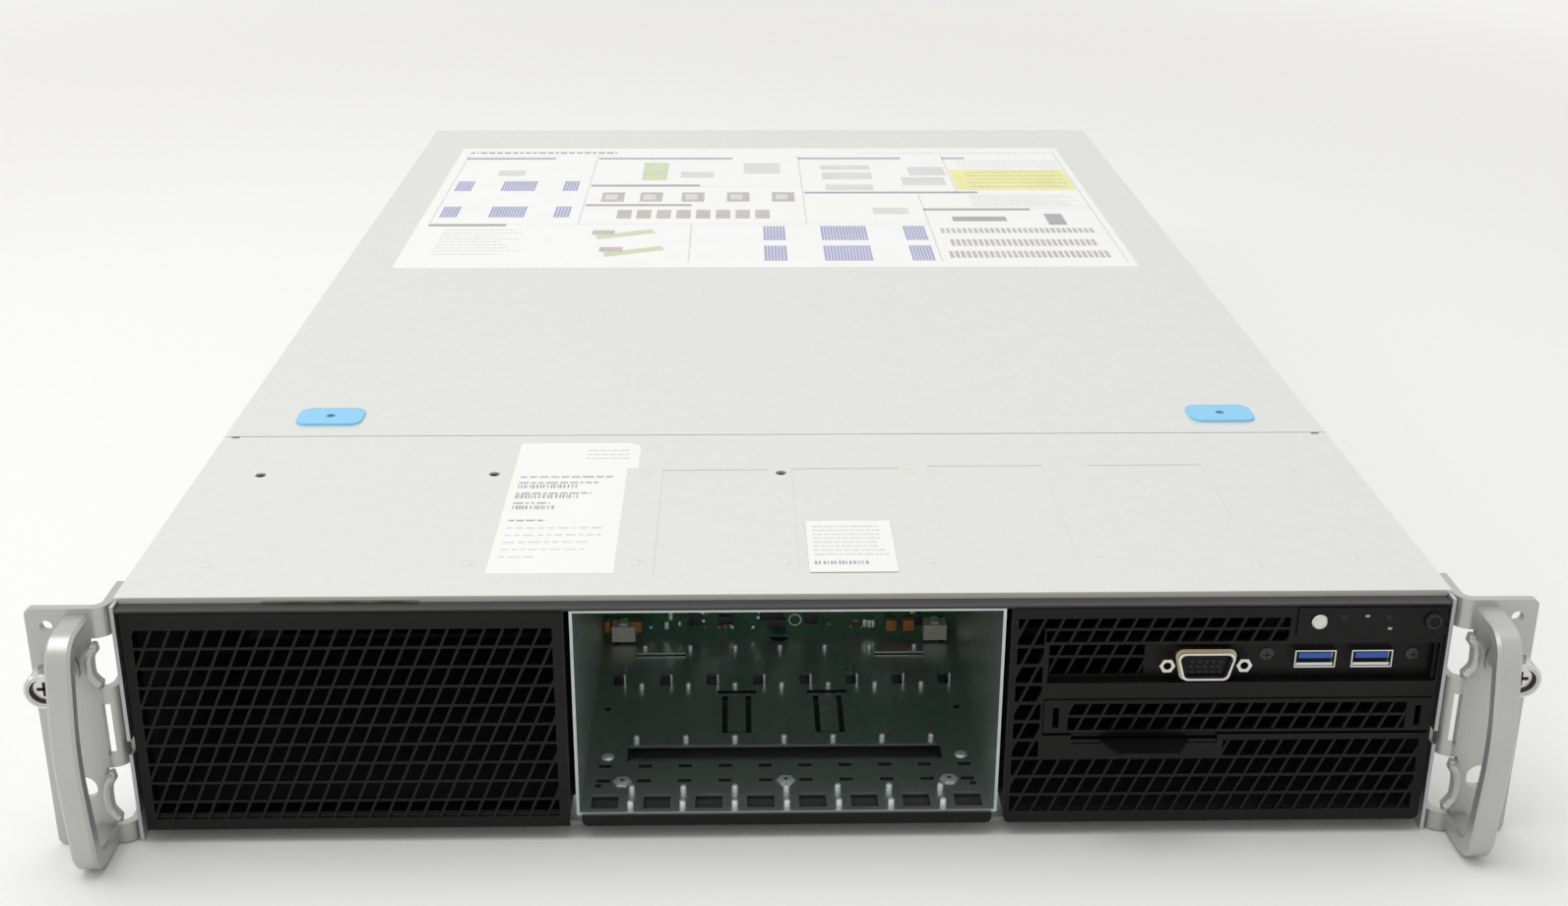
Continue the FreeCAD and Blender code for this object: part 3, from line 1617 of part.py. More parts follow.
def check():
    """Stops the build if any object failed or any sub-part's shape is unusable."""
    failed = [thing.Name for thing in doc.Objects
              if "Invalid" in thing.State or "Error" in thing.State]
    if failed:
        raise RuntimeError(f"failed objects: {failed}")
    for thing in parts:
        if thing.Shape.isNull() or not thing.Shape.isValid() or not thing.Shape.Solids:
            raise RuntimeError(f"unusable shape: {thing.Label}")


def write():
    """Writes one file for each sub-part."""
    os.makedirs("parts", exist_ok=True)
    for thing in parts:
        thing.Shape.exportStep(f"parts/{thing.Label}.step")
        print(f"{thing.Label}: {len(thing.Shape.Solids)} solid, "
              f"{thing.Shape.Volume / 1000:.2f} cm3")


build()
doc.recompute()
check()
write()
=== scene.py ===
import math
import random

import bmesh
import bpy
from mathutils import Matrix, Vector


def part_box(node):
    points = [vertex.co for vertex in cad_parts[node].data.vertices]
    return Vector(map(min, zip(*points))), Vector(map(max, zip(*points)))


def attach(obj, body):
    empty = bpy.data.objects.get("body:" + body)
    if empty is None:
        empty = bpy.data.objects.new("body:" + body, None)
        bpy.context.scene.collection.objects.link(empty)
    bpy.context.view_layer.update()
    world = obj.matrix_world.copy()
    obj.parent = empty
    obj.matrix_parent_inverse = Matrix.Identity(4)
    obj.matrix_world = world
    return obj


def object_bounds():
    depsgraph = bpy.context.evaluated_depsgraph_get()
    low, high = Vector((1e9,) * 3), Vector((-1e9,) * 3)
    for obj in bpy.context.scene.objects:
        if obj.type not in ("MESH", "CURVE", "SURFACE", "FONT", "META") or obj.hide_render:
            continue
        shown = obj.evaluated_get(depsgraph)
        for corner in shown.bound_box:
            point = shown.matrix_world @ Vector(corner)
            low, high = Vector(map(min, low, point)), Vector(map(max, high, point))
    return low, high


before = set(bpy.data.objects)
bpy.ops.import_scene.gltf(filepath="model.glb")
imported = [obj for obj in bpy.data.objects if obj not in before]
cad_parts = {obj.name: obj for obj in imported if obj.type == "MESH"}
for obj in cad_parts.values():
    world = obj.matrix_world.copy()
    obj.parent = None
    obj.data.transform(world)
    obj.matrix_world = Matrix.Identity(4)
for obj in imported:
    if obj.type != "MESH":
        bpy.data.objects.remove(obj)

# A 2U rack server, dressed: materials for the CAD nodes, then the small pieces that the
# CAD leaves out, such as labels, spot marks, pins, connector details and printed signs.
# Lengths are in millimetres and are turned into metres where a mesh is made.

cad_low, cad_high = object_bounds()
MM = 0.001


def across(node):
    """Lowest and highest corner of a CAD node, in millimetres."""
    low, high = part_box(node)
    return low / MM, high / MM


def centre_of(low, high):
    """Middle of a box as seen from the front: its X and its Z."""
    return (low.x + high.x) / 2, (low.z + high.z) / 2


front = across("left_bay_filler")[0].y
top = across("top_cover")[1].z
service_low, service_high = across("service_panel")
service_x = (service_low.x + service_high.x) / 2
BAY_SHEET = 1.0
bay_floor = across("bay_sill")[1].z + BAY_SHEET
backplane_face = across("drive_backplane")[0].y


# ---- Materials ----

def new_material(name, roughness, metallic=0.0, **sockets):
    """Material with one shader, whose even values are set on its own sockets."""
    material = bpy.data.materials.new(name)
    material.use_nodes = True
    tree = material.node_tree
    shader = tree.nodes["Principled BSDF"]
    shader.inputs["Roughness"].default_value = roughness
    shader.inputs["Metallic"].default_value = metallic
    for socket, value in sockets.items():
        shader.inputs[socket.replace("_", " ")].default_value = value
    return material, tree, shader


def place(tree, stretch=(1, 1, 1)):
    """Object coordinates, stretched."""
    coordinates = tree.nodes.new("ShaderNodeTexCoord")
    mapping = tree.nodes.new("ShaderNodeMapping")
    mapping.inputs["Scale"].default_value = stretch
    tree.links.new(coordinates.outputs["Object"], mapping.inputs["Vector"])
    return mapping.outputs["Vector"]


def noise(tree, vector, scale, detail=3.0):
    """Cloudy value from 0 to 1."""
    node = tree.nodes.new("ShaderNodeTexNoise")
    node.inputs["Scale"].default_value = scale
    node.inputs["Detail"].default_value = detail
    tree.links.new(vector, node.inputs["Vector"])
    return node.outputs["Fac"]


def spangle(tree, vector, scale):
    """Value that steps from one crystal to the next."""
    node = tree.nodes.new("ShaderNodeTexVoronoi")
    node.inputs["Scale"].default_value = scale
    tree.links.new(vector, node.inputs["Vector"])
    split = tree.nodes.new("ShaderNodeSeparateColor")
    tree.links.new(node.outputs["Color"], split.inputs["Color"])
    return split.outputs["Red"]


def remap(tree, value, low, high, start=0.3, end=0.7):
    """Value carried from start..end to low..high."""
    node = tree.nodes.new("ShaderNodeMapRange")
    node.inputs["From Min"].default_value = start
    node.inputs["From Max"].default_value = end
    node.inputs["To Min"].default_value = low
    node.inputs["To Max"].default_value = high
    tree.links.new(value, node.inputs["Value"])
    return node.outputs["Result"]


def mix_values(tree, first, second, share):
    """Blend of two values."""
    node = tree.nodes.new("ShaderNodeMix")
    node.inputs["Factor"].default_value = share
    tree.links.new(first, node.inputs["A"])
    tree.links.new(second, node.inputs["B"])
    return node.outputs["Result"]


def ramp(tree, value, stops):
    """Colour from a value: stops are (place, colour)."""
    node = tree.nodes.new("ShaderNodeValToRGB")
    ends = node.color_ramp.elements
    for i, (spot, colour) in enumerate(stops):
        stop = ends[i] if i < 2 else ends.new(spot)
        stop.position = spot
        stop.color = (*colour, 1.0)
    tree.links.new(value, node.inputs["Fac"])
    return node.outputs["Color"]


def shade(colour, factor):
    """Lighter or darker colour."""
    return tuple(min(channel * factor, 1.0) for channel in colour)


def emboss(tree, shader, height, distance):
    """Fine relief from a height."""
    node = tree.nodes.new("ShaderNodeBump")
    node.inputs["Strength"].default_value = 0.6
    node.inputs["Distance"].default_value = distance
    tree.links.new(height, node.inputs["Height"])
    tree.links.new(node.outputs["Normal"], shader.inputs["Normal"])


def galvanised(name, colour, roughness, metallic, contrast=0.05):
    """Zinc-coated sheet: faint crystals, rolling lines along the depth, and light stains."""
    material, tree, shader = new_material(name, roughness, metallic)
    space = place(tree)
    crystals = mix_values(tree, spangle(tree, space, 210.0), noise(tree, space, 90.0), 0.55)
    rolled = noise(tree, place(tree, (1.0, 0.04, 1.0)), 700.0, 4.0)
    stains = noise(tree, space, 7.0, 5.0)
    cloud = mix_values(tree, mix_values(tree, crystals, rolled, 0.35), stains, 0.45)
    tree.links.new(ramp(tree, cloud, ((0.3, shade(colour, 1 - contrast)),
                                      (0.7, shade(colour, 1 + contrast)))),
                   shader.inputs["Base Color"])
    tree.links.new(remap(tree, cloud, roughness + 0.08, roughness - 0.05),
                   shader.inputs["Roughness"])
    emboss(tree, shader, mix_values(tree, rolled, crystals, 0.4), 0.00002)
    return material


def coated(name, colour, roughness, metallic=0.0, grain=2600.0, relief=0.00004, wear=0.12,
           **sockets):
    """Painted or moulded surface: fine grain, slight unevenness, faint rubbing."""
    material, tree, shader = new_material(name, roughness, metallic, **sockets)
    space = place(tree)
    fine = noise(tree, space, grain, 2.0)
    broad = noise(tree, space, 45.0, 5.0)
    both = mix_values(tree, fine, broad, 0.6)
    tree.links.new(ramp(tree, both, ((0.3, shade(colour, 1 - wear)),
                                     (0.7, shade(colour, 1 + wear)))),
                   shader.inputs["Base Color"])
    tree.links.new(remap(tree, broad, roughness - 0.06, roughness + 0.08),
                   shader.inputs["Roughness"])
    emboss(tree, shader, fine, relief)
    return material


def circuit(name):
    """Green lacquered board with copper runs under the lacquer."""
    material, tree, shader = new_material(name, 0.32)
    space = place(tree)
    cells = tree.nodes.new("ShaderNodeTexVoronoi")
    cells.distance = "MANHATTAN"
    cells.inputs["Scale"].default_value = 260.0
    tree.links.new(space, cells.inputs["Vector"])
    runs = mix_values(tree, cells.outputs["Distance"], noise(tree, space, 60.0), 0.4)
    tree.links.new(ramp(tree, runs, ((0.25, (0.004, 0.05, 0.022)), (0.5, (0.012, 0.11, 0.05)),
                                     (0.75, (0.006, 0.07, 0.03)))),
                   shader.inputs["Base Color"])
    emboss(tree, shader, runs, 0.00003)
    return material


def build_materials():
    """Every finish on the object, by name."""
    return {
        "cover": galvanised("zinc_cover", (0.755, 0.765, 0.735), 0.46, 0.5, 0.03),
        "chassis": galvanised("zinc_chassis", (0.60, 0.62, 0.61), 0.40, 0.8, 0.07),
        "cage": galvanised("zinc_cage", (0.50, 0.56, 0.54), 0.30, 0.85, 0.08),
        # Painted shade: the ramp blade is the cage's own zinc, made darker to stand for the
        # shade that falls on it.
        "ramp": galvanised("zinc_ramp_painted_shade", (0.20, 0.235, 0.225), 0.4, 0.7, 0.08),
        "dark_cage": galvanised("zinc_in_shadow", (0.09, 0.095, 0.09), 0.5, 0.8, 0.08),
        "black": coated("black_powder_coat", (0.0055, 0.0055, 0.005), 0.4,
                        Specular_IOR_Level=0.2),
        "black_rail": coated("black_rail_paint", (0.02, 0.019, 0.018), 0.3),
        "black_plastic": coated("black_moulding", (0.006, 0.006, 0.006), 0.45,
                                relief=0.00002, Specular_IOR_Level=0.2),
        "silver": coated("silver_cast_paint", (0.50, 0.505, 0.49), 0.33, 0.6, grain=1900.0,
                         relief=0.00005, wear=0.05),
        "bright": coated("nickel_plating", (0.66, 0.65, 0.62), 0.2, 1.0, grain=900.0,
                         relief=0.00001, wear=0.06),
        "pin": coated("zinc_pin", (0.74, 0.76, 0.77), 0.42, 0.55, grain=900.0,
                      relief=0.00001, wear=0.05),
        "gold": coated("gold_flash", (0.46, 0.39, 0.25), 0.3, 1.0, grain=900.0,
                       relief=0.00001, wear=0.08),
        "pad": coated("blue_thumb_pad", (0.26, 0.62, 0.90), 0.5, grain=1500.0,
                      relief=0.00002, wear=0.03),
        "usb_blue": coated("blue_tongue", (0.012, 0.09, 0.42), 0.36, wear=0.06),
        "white_plastic": coated("white_socket", (0.62, 0.61, 0.52), 0.4, wear=0.05),
        "orange_plastic": coated("orange_latch", (0.52, 0.19, 0.06), 0.42, wear=0.08),
        "chip": coated("black_chip", (0.014, 0.014, 0.015), 0.35, grain=3200.0),
        "board": circuit("green_board"),
        "aluminium": galvanised("milled_aluminium", (0.72, 0.73, 0.73), 0.3, 1.0, 0.04),
        "paper": coated("label_paper", (0.90, 0.90, 0.885), 0.55, grain=4000.0,
                        relief=0.00001, wear=0.012),
        "ink": coated("grey_ink", (0.40, 0.40, 0.41), 0.6, wear=0.15),
        "pale_ink": coated("pale_ink", (0.70, 0.70, 0.70), 0.6, wear=0.1),
        "blue_ink": coated("blue_ink", (0.38, 0.40, 0.60), 0.6, wear=0.12),
        "brown_ink": coated("brown_ink", (0.56, 0.50, 0.47), 0.6, wear=0.15),
        "yellow_ink": coated("yellow_ink", (0.84, 0.82, 0.38), 0.6, wear=0.08),
        "green_ink": coated("green_ink", (0.62, 0.71, 0.48), 0.6, wear=0.12),
        # Painted shade: near-black for the shade in holes, slots, cross recesses and the backs
        # of ports and outlets.
        "dark": coated("painted_hole_shade", (0.006, 0.006, 0.006), 0.7, wear=0.2),
    }


MATERIALS = build_materials()

NODE_FINISH = (
    ("top_cover", "cover"), ("front_top_panel", "cover"), ("cover_thumb_pads", "pad"),
    ("chassis_base", "chassis"), ("drive_cage_middle", "cage"), ("drive_cage", "dark_cage"),
    ("cage_rails", "cage"), ("tag_guide", "cage"), ("top_rail", "black_rail"),
    ("bay_sill", "black"),
    ("left_bay_filler", "black"), ("service_panel", "black"), ("control_panel", "black_plastic"),
    ("id_button", "bright"), ("power_button", "black_plastic"), ("io_plate", "black"),
    ("video_socket", "black_plastic"), ("video_jackscrews", "bright"), ("usb_ports", "bright"),
    ("slim_bay_filler", "black"), ("asset_tag", "black_plastic"), ("rack_handle", "silver"),
    ("thumbscrew_ferrule", "silver"), ("thumbscrew", "bright"), ("drive_backplane", "board"),
    ("backplane_sockets", "white_plastic"), ("fan_", "black_plastic"), ("system_board", "board"),
    ("board_standoffs", "bright"), ("processor_cooler", "aluminium"),
    ("memory_sockets", "black_plastic"), ("memory_modules", "board"), ("rear_wall", "chassis"),
    ("slot_covers", "cage"), ("supply_bay", "chassis"), ("power_supply", "cage"),
    ("rear_port_shield", "cage"), ("rear_ports", "bright"), ("air_duct", "black_plastic"),
    ("riser", "board"), ("supply_grip", "black_plastic"), ("supply_latch", "orange_plastic"),
)

SOFT_EDGES = ("top_rail", "bay_sill", "service_panel", "slim_bay_filler", "left_bay_filler",
              "control_panel", "io_plate", "asset_tag", "front_top_panel")
EDGE_WIDTH = 0.25


def finish_nodes():
    """Gives every CAD node its finish, by what its name starts with."""
    for name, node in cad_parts.items():
        finish = next(key for start, key in NODE_FINISH if name.startswith(start))
        node.data.materials.clear()
        node.data.materials.append(MATERIALS[finish])
        if name in SOFT_EDGES:
            edge = node.modifiers.new("edge", "BEVEL")
            edge.width = EDGE_WIDTH * MM
            edge.segments = 2
            edge.limit_method = "ANGLE"


# ---- Mesh tools ----

ORDER = {"x": lambda a, b, c: (c, a, b), "y": lambda a, b, c: (a, c, b),
         "z": lambda a, b, c: (a, b, c)}


def around(a, b, radius, angle):
    """Point on a circle."""
    return a + radius * math.cos(angle), b + radius * math.sin(angle)


def rounded(left, right, low, high, radius, steps=5):
    """Outline of a rectangle with round corners."""
    points = []
    for turn, (a, b) in enumerate(((right - radius, high - radius),
                                   (left + radius, high - radius),
                                   (left + radius, low + radius),
                                   (right - radius, low + radius))):
        points += [around(a, b, radius, math.pi / 2 * (turn + step / steps))
                   for step in range(steps + 1)]
    return points


def polygon(a, b, radius, sides):
    """Outline of a regular polygon."""
    return [around(a, b, radius, 2 * math.pi * i / sides) for i in range(sides)]


class Shape:
    """Collects solids, given in millimetres, in one mesh."""

    def __init__(self):
        self.mesh = bmesh.new()

    def point(self, axis, a, b, c):
        return self.mesh.verts.new(Vector(ORDER[axis](a, b, c)) * MM)

    def skin(self, rings, closed):
        """Faces between rings of points, with the ends filled or joined."""
        faces = []
        pairs = list(zip(rings, rings[1:]))
        if closed:
            pairs.append((rings[-1], rings[0]))
        else:
            faces += [self.mesh.faces.new(rings[0]), self.mesh.faces.new(rings[-1])]
        for first, second in pairs:
            for i in range(len(first)):
                faces.append(self.mesh.faces.new((first[i - 1], first[i], second[i],
                                                  second[i - 1])))
        bmesh.ops.recalc_face_normals(self.mesh, faces=faces)
        return faces

    def prism(self, outline, start, end, axis="z", bevel=0.0):
        """Solid of one outline, with its far edges rounded over."""
        rings = [[self.point(axis, a, b, c) for a, b in outline] for c in (start, end)]
        faces = self.skin(rings, closed=False)
        if bevel:
            edges = dict.fromkeys(edge for face in faces for edge in face.edges)
            bmesh.ops.bevel(self.mesh, geom=list(edges), offset=bevel * MM, segments=2,
                            affect="EDGES", profile=0.6, clamp_overlap=True)
        return self

    def block(self, x, y, z, bevel=0.0):
        """Box with slightly rounded edges."""
        return self.prism([(x[0], y[0]), (x[1], y[0]), (x[1], y[1]), (x[0], y[1])],
                          z[0], z[1], "z", bevel)

    def frame(self, outer, inner, start, end, axis="y"):
        """Ring between two outlines with equal numbers of points."""
        loops = ((outer, start), (outer, end), (inner, end), (inner, start))
        self.skin([[self.point(axis, a, b, c) for a, b in outline] for outline, c in loops],
                  closed=True)
        return self

    def lathe(self, profile, a, b, start, axis="z", sides=20):
        """Turned solid: profile is (radius, height) from one end to the other."""
        rings = []
        for radius, height in profile:
            rings.append([self.point(axis, *spot, start + height)
                          for spot in polygon(a, b, radius, sides)])
        self.skin(rings, closed=False)
        return self

    def patch(self, left, right, near, far, height):
        """Printed rectangle: one face that looks up."""
        corners = ((left, near), (right, near), (right, far), (left, far))
        self.mesh.faces.new([self.point("z", a, b, height) for a, b in corners])
        return self

    def finish(self, name, finish, body="chassis", slot=None):
        """Makes the piece, shades it smooth with sharp corners, and hangs it on its body."""
        data = bpy.data.meshes.new(name)
        self.mesh.to_mesh(data)
        self.mesh.free()
        data.materials.append(MATERIALS[finish])
        data.shade_smooth()
        data.set_sharp_from_angle(angle=math.radians(35))
        piece = bpy.data.objects.new(name, data)
        bpy.context.scene.collection.objects.link(piece)
        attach(piece, body)
        return piece


# ---- Top: spot marks, foil gasket and labels ----

FRONT_SPOTS = (-192, -106, -50, 0, 48, 105, 191)
BACK_SPOTS = (-50, 48, 104, 191)
FRONT_SPOT_ROW = 31.5
BACK_SPOT_ROW = 110.5
SPOT_OUTER = 2.5
SPOT_INNER = 2.0
SPOT_DOME = ((1.4, -0.1), (1.3, 0.1), (0.8, 0.22), (0.3, 0.26))

GASKET_LEFT = -168
GASKET_RIGHT = -118
GASKET_PITCH = 5
GASKET_LOW = 85.7
GASKET_HIGH = 86.1
GASKET_WAVE = 0.15


def make_top_spots():
    """Half-punched spot marks: a shallow ring with a small dome in it."""
    marks = Shape()
    spots = [(x, FRONT_SPOT_ROW) for x in FRONT_SPOTS]
    spots += [(x, BACK_SPOT_ROW) for x in BACK_SPOTS]
    for x, y in spots:
        marks.frame(polygon(x, front + y, SPOT_OUTER, 24), polygon(x, front + y, SPOT_INNER, 24),
                    top - 0.05, top + 0.08, "z")
        marks.lathe(SPOT_DOME, x, front + y, top)
    marks.finish("top_rivets", "cover", slot="cover_steel")


def make_gasket():
    """Short strip of gold conductive foil in the gap under the top panel."""
    strip = Shape()
    waves = (GASKET_RIGHT - GASKET_LEFT) // GASKET_PITCH + 1
    edge = [(GASKET_LEFT + i * GASKET_PITCH, GASKET_LOW + GASKET_WAVE * math.sin(i * 2.1))
            for i in range(waves)]
    strip.prism(edge + [(GASKET_RIGHT, GASKET_HIGH), (GASKET_LEFT, GASKET_HIGH)],
                front + 5.6, front + 5.9, "y")
    strip.finish("foil_gasket", "gold", slot="bright_steel")


def strokes(ink, draw, left, right, near, height, level, gap=0.6):
    """Broken row of short marks, as words look from afar."""
    spot = left
    while spot < right:
        width = draw.uniform(1.0, 4.5)
        ink.patch(spot, min(spot + width, right), near, near + height, level)
        spot += width + gap


def bars(ink, draw, left, right, near, height, level):
    """Row of upright bars of uneven widths."""
    spot = left
    while spot < right:
        width = draw.uniform(0.25, 0.9)
        ink.patch(spot, spot + width, near, near + height, level)
        spot += width + draw.uniform(0.3, 0.9)


PAPER = 0.12
PRINT = PAPER + 0.02
OVERPRINT = 0.01

# Print on the tall label, as rows of near edge and right end.
TALL_BARS = ((95.5, -74.0), (86.0, -74.0), (76.0, -82.0))
TALL_DARK_ROWS = ((105.5, -62.0), (100.0, -67.0), (90.0, -69.0), (81.0, -83.0), (65.5, -83.0))
TALL_PALE_ROWS = ((59.0, -63.0), (53.0, -63.0), (47.0, -67.0), (41.0, -67.0), (35.0, -84.0))
TALL_PRINT_LEFT = -96.0
TALL_CORNER = 6.0


def make_tall_label():
    """White label on the front panel with a rounded tab at its far end."""
    draw = random.Random(3)
    paper, dark, pale = Shape(), Shape(), Shape()
    left, right, near, step, tab, far = -99.0, -57.0, 22.5, 114.0, -53.0, 140.5
    outline = [(left, near), (right, near), (right, step), (tab, step)]
    outline += [around(tab - TALL_CORNER, far - TALL_CORNER, TALL_CORNER, math.pi / 12 * i)
                for i in range(7)]
    outline.append((left, far))
    paper.prism([(x, front + y) for x, y in outline], top, top + PAPER)
    level = top + PRINT
    for near_edge, reach in TALL_BARS:
        bars(dark, draw, TALL_PRINT_LEFT, reach, front + near_edge, 3.4, level)
    for near_edge, reach in TALL_DARK_ROWS:
        strokes(dark, draw, TALL_PRINT_LEFT, reach, front + near_edge, 1.3, level, 0.8)
    for near_edge, reach in TALL_PALE_ROWS:
        strokes(pale, draw, TALL_PRINT_LEFT, reach, front + near_edge, 1.2, level, 1.2)
    for row in range(3):
        strokes(pale, draw, -73.0, right, front + 132.0 - row * 4, 1.2, level)
    paper.finish("front_label_tall", "paper", slot="cover_steel")
    dark.finish("front_label_tall_print", "ink", slot="cover_steel")
    pale.finish("front_label_tall_pale_print", "pale_ink", slot="cover_steel")


def make_small_label():
    """Small white label with rows of fine marks and a bar row."""
    draw = random.Random(5)
    paper, pale, dark = Shape(), Shape(), Shape()
    left, right, near, far = 7.5, 37.0, 22.5, 64.5
    paper.prism([(left, front + near), (right, front + near), (right, front + far),
                 (left, front + far)], top, top + PAPER)
    for row in range(8):
        strokes(pale, draw, left + 2, right - draw.uniform(2, 6), front + 59.0 - row * 3.3,
                1.1, top + PRINT, 0.5)
    bars(dark, draw, left + 2, left + 20, front + 28.5, 2.6, top + PRINT)
    paper.finish("front_label_small", "paper", slot="cover_steel")
    pale.finish("front_label_small_pale_print", "pale_ink", slot="cover_steel")
    dark.finish("front_label_small_print", "ink", slot="cover_steel")


# Print on the cover's label. X is from the middle, Y from the front edge.
COVER_INKS = ("ink", "pale_ink", "blue_ink", "brown_ink", "yellow_ink", "green_ink")
HEADINGS = ((-184, -129, 631), (-102, -19, 631), (22, 86, 631), (112, 126, 631),
            (-102, -38, 560), (23, 124, 542), (-102, -42, 513), (89, 149, 502),
            (-184, -142, 469))
UPRIGHT_RULES = ((-184, 472, 640), (-103, 472, 640), (22, 472, 640), (89, 395, 540),
                 (112, 542, 640), (-41, 395, 470), (184, 395, 650))
CROSS_RULES = ((-184, 89, 471), (-102, 22, 558), (89, 184, 505))
LEFT_BANKS = ((-181, 10), (-154, 20), (-118, 9))
LEFT_BANK_ROWS = (486, 547)
RIGHT_BANKS = ((-2, 12), (29, 25), (74, 12))
RIGHT_BANK_ROWS = (397, 437)
COMB_ROWS = ((94, 178, 451, 10), (97, 175, 425, 13), (94, 178, 402, 13))
COMB_PITCH = 3
FAN_SIGNS = (-94, -72, -48, -22, 4)
MODULE_SIGNS = 8
LEVER_SIGNS = ((-90, 439), (-84, 405))
PALE_BLOCKS = ((35, 575, 30, 18), (82, 560, 26, 20), (36, 548, 28, 14), (-50, 580, 20, 15),
               (-160, 585, 16, 14), (60, 492, 20, 14), (-12, 590, 22, 28), (88, 585, 22, 22),
               (35, 600, 30, 12))


def make_cover_label():
    """Large label on the cover: ruled panels with plain blocks in place of its drawings."""
    draw = random.Random(11)
    level = top + PRINT
    paper = Shape()
    inks = {name: Shape() for name in COVER_INKS}

    def area(ink, left, right, near, far, rise=0.0):
        inks[ink].patch(left, right, front + near, front + far, level + rise)

    paper.prism([(x, front + y) for x, y in rounded(-190.0, 188.0, 385.0, 660.0, 2.0)],
                top, top + PAPER)
    for left, right, middle in HEADINGS:
        area("ink", left, right, middle - 2.2, middle + 2.2)
    for x, near, far in UPRIGHT_RULES:
        area("pale_ink", x - 0.4, x + 0.4, near, far)
    for left, right, y in CROSS_RULES:
        area("pale_ink", left, right, y - 0.3, y + 0.3)
    for banks, rows, length in ((LEFT_BANKS, LEFT_BANK_ROWS, 24),
                                (RIGHT_BANKS, RIGHT_BANK_ROWS, 29)):
        for left, width in banks:
            for y in rows:
                lines(inks["blue_ink"], left, width, y, length, level)
    for left, right, y, height in COMB_ROWS:
        for x in range(left, right - COMB_PITCH + 1, COMB_PITCH):
            area("brown_ink", x, x + 2, y, y + height)
    area("yellow_ink", 113, 183, 548, 600)
    area("green_ink", -73, -58, 573, 619)
    area("ink", 155, 165, 468, 492)
    area("ink", 103, 133, 476, 486)
    for x in FAN_SIGNS:
        area("brown_ink", x, x + 13, 521, 543)
        area("pale_ink", x + 2, x + 9, 526, 538, OVERPRINT)
    for i in range(MODULE_SIGNS):
        area("brown_ink", -83 + i * 11, -75 + i * 11, 483, 502)
    for x, y in LEVER_SIGNS:
        inks["green_ink"].prism([(x, front + y), (x + 30, front + y + 13),
                                 (x + 28, front + y + 21), (x - 2, front + y + 8)],
                                level - 0.01, level)
        area("brown_ink", x - 4, x + 8, y + 10, y + 19, OVERPRINT)
    for x, y, width, height in PALE_BLOCKS:
        area("pale_ink", x, x + width, y, y + height)
    for row in range(9):
        strokes(inks["pale_ink"], draw, -174, -134 + draw.uniform(-8, 8),
                front + 458 - row * 6, 1.5, level)
        strokes(inks["pale_ink"], draw, 118, 182 - draw.uniform(0, 12),
                front + 535 - row * 3.2, 1.2, level)
    for row in range(5):
        strokes(inks["pale_ink"], draw, 120, 182, front + 623 - row * 4.5, 1.2, level)
        strokes(inks["ink"], draw, 122, 180, front + 592 - row * 9, 1.2, level + OVERPRINT)
    strokes(inks["ink"], draw, -184, -92, front + 645, 4.5, level, 1.2)
    strokes(inks["pale_ink"], draw, 60, 182, front + 644, 2.0, level)
    paper.finish("cover_label", "paper", "cover", "cover_steel")
    for name, shape in inks.items():
        shape.finish("cover_label_" + name, name, "cover", "cover_steel")


def lines(ink, start, width, y, length, level):
    """Block of close upright lines."""
    count = max(2, int(width / 1.6))
    pitch = width / count
    for i in range(count):
        ink.patch(start + i * pitch, start + i * pitch + pitch * 0.8, front + y,
                  front + y + length, level)


# ---- Open drive bay ----

DRIVE_PITCH = 17.45
PIN_ROWS = (3.0, 12.5, 46.0, 85.0, 115.5)
PIN_SHIFT = 1.4
PIN_PROFILE = ((1.1, 0.0), (1.1, 1.9), (0.85, 2.4), (0.3, 2.6))

STUD_PLACES = (-56.0, 0.0, 56.0)
STUD_ROW = 20.3
STUD_RADIUS = 3.2
STUD_HEIGHT = 0.5
STUD_PROFILE = ((2.3, 0.4), (2.3, 0.55), (1.9, 0.75), (1.0, 0.8))
DOME_PLACES = (-61.9, 61.9)
DOME_ROW = 36.8
DOME_PROFILE = ((2.3, 0.0), (2.1, 0.5), (1.5, 0.9), (0.6, 1.1))
CROSS_ARM = 0.22
CROSS_THICK = 0.05

# A dark mark of painted shade that stands for a small hole is this thick.
MARK = 0.03
ROUND_MARKS = ((64.0, 17.8, 1.2), (64.0, 70.8, 1.2), (63.7, 124.0, 1.3))
RELIEF_ROW = 128.0
RELIEF_WIDE = 3.6
RELIEF_REACH = 4.0
SLOT_PITCH = 13.87
SLOT_ROWS = (20.9, 30.5)
SLOT_COLUMNS = 10
LONG_SLOT_PLACE = 16.8
LONG_SLOT_HALF = 7.4

TAB_SHIFT = 1.9
TAB_THICK = 0.8
TAB_SPAN = (90.0, 97.5)

# Section of the ramp: Y from the front edge, and Z from the sheet's underside.
RAMP_SECTION = ((33.6, 0.6), (34.4, 0.9), (44.0, -3.6), (44.0, -4.4), (34.2, 0.1))
RAMP_HALF = 54.5
# Painted shade: a dark sheet under the floor, seen through its holes and slots.
UNDER_FLOOR_SHADE_SPANS = ((1.6, 33.0), (50.0, 127.0))
UNDER_FLOOR_SHADE_HALF = 66.0


def make_bay_pins():
    """Round-topped posts that guide the drives, in rows across the bay's floor."""
    pins = Shape()
    for column in range(-3, 4):
        for y in PIN_ROWS:
            pins.lathe(PIN_PROFILE, column * DRIVE_PITCH, front + PIN_SHIFT + y, bay_floor,
                       sides=12)
    pins.finish("bay_pins", "pin", slot="bright_steel")


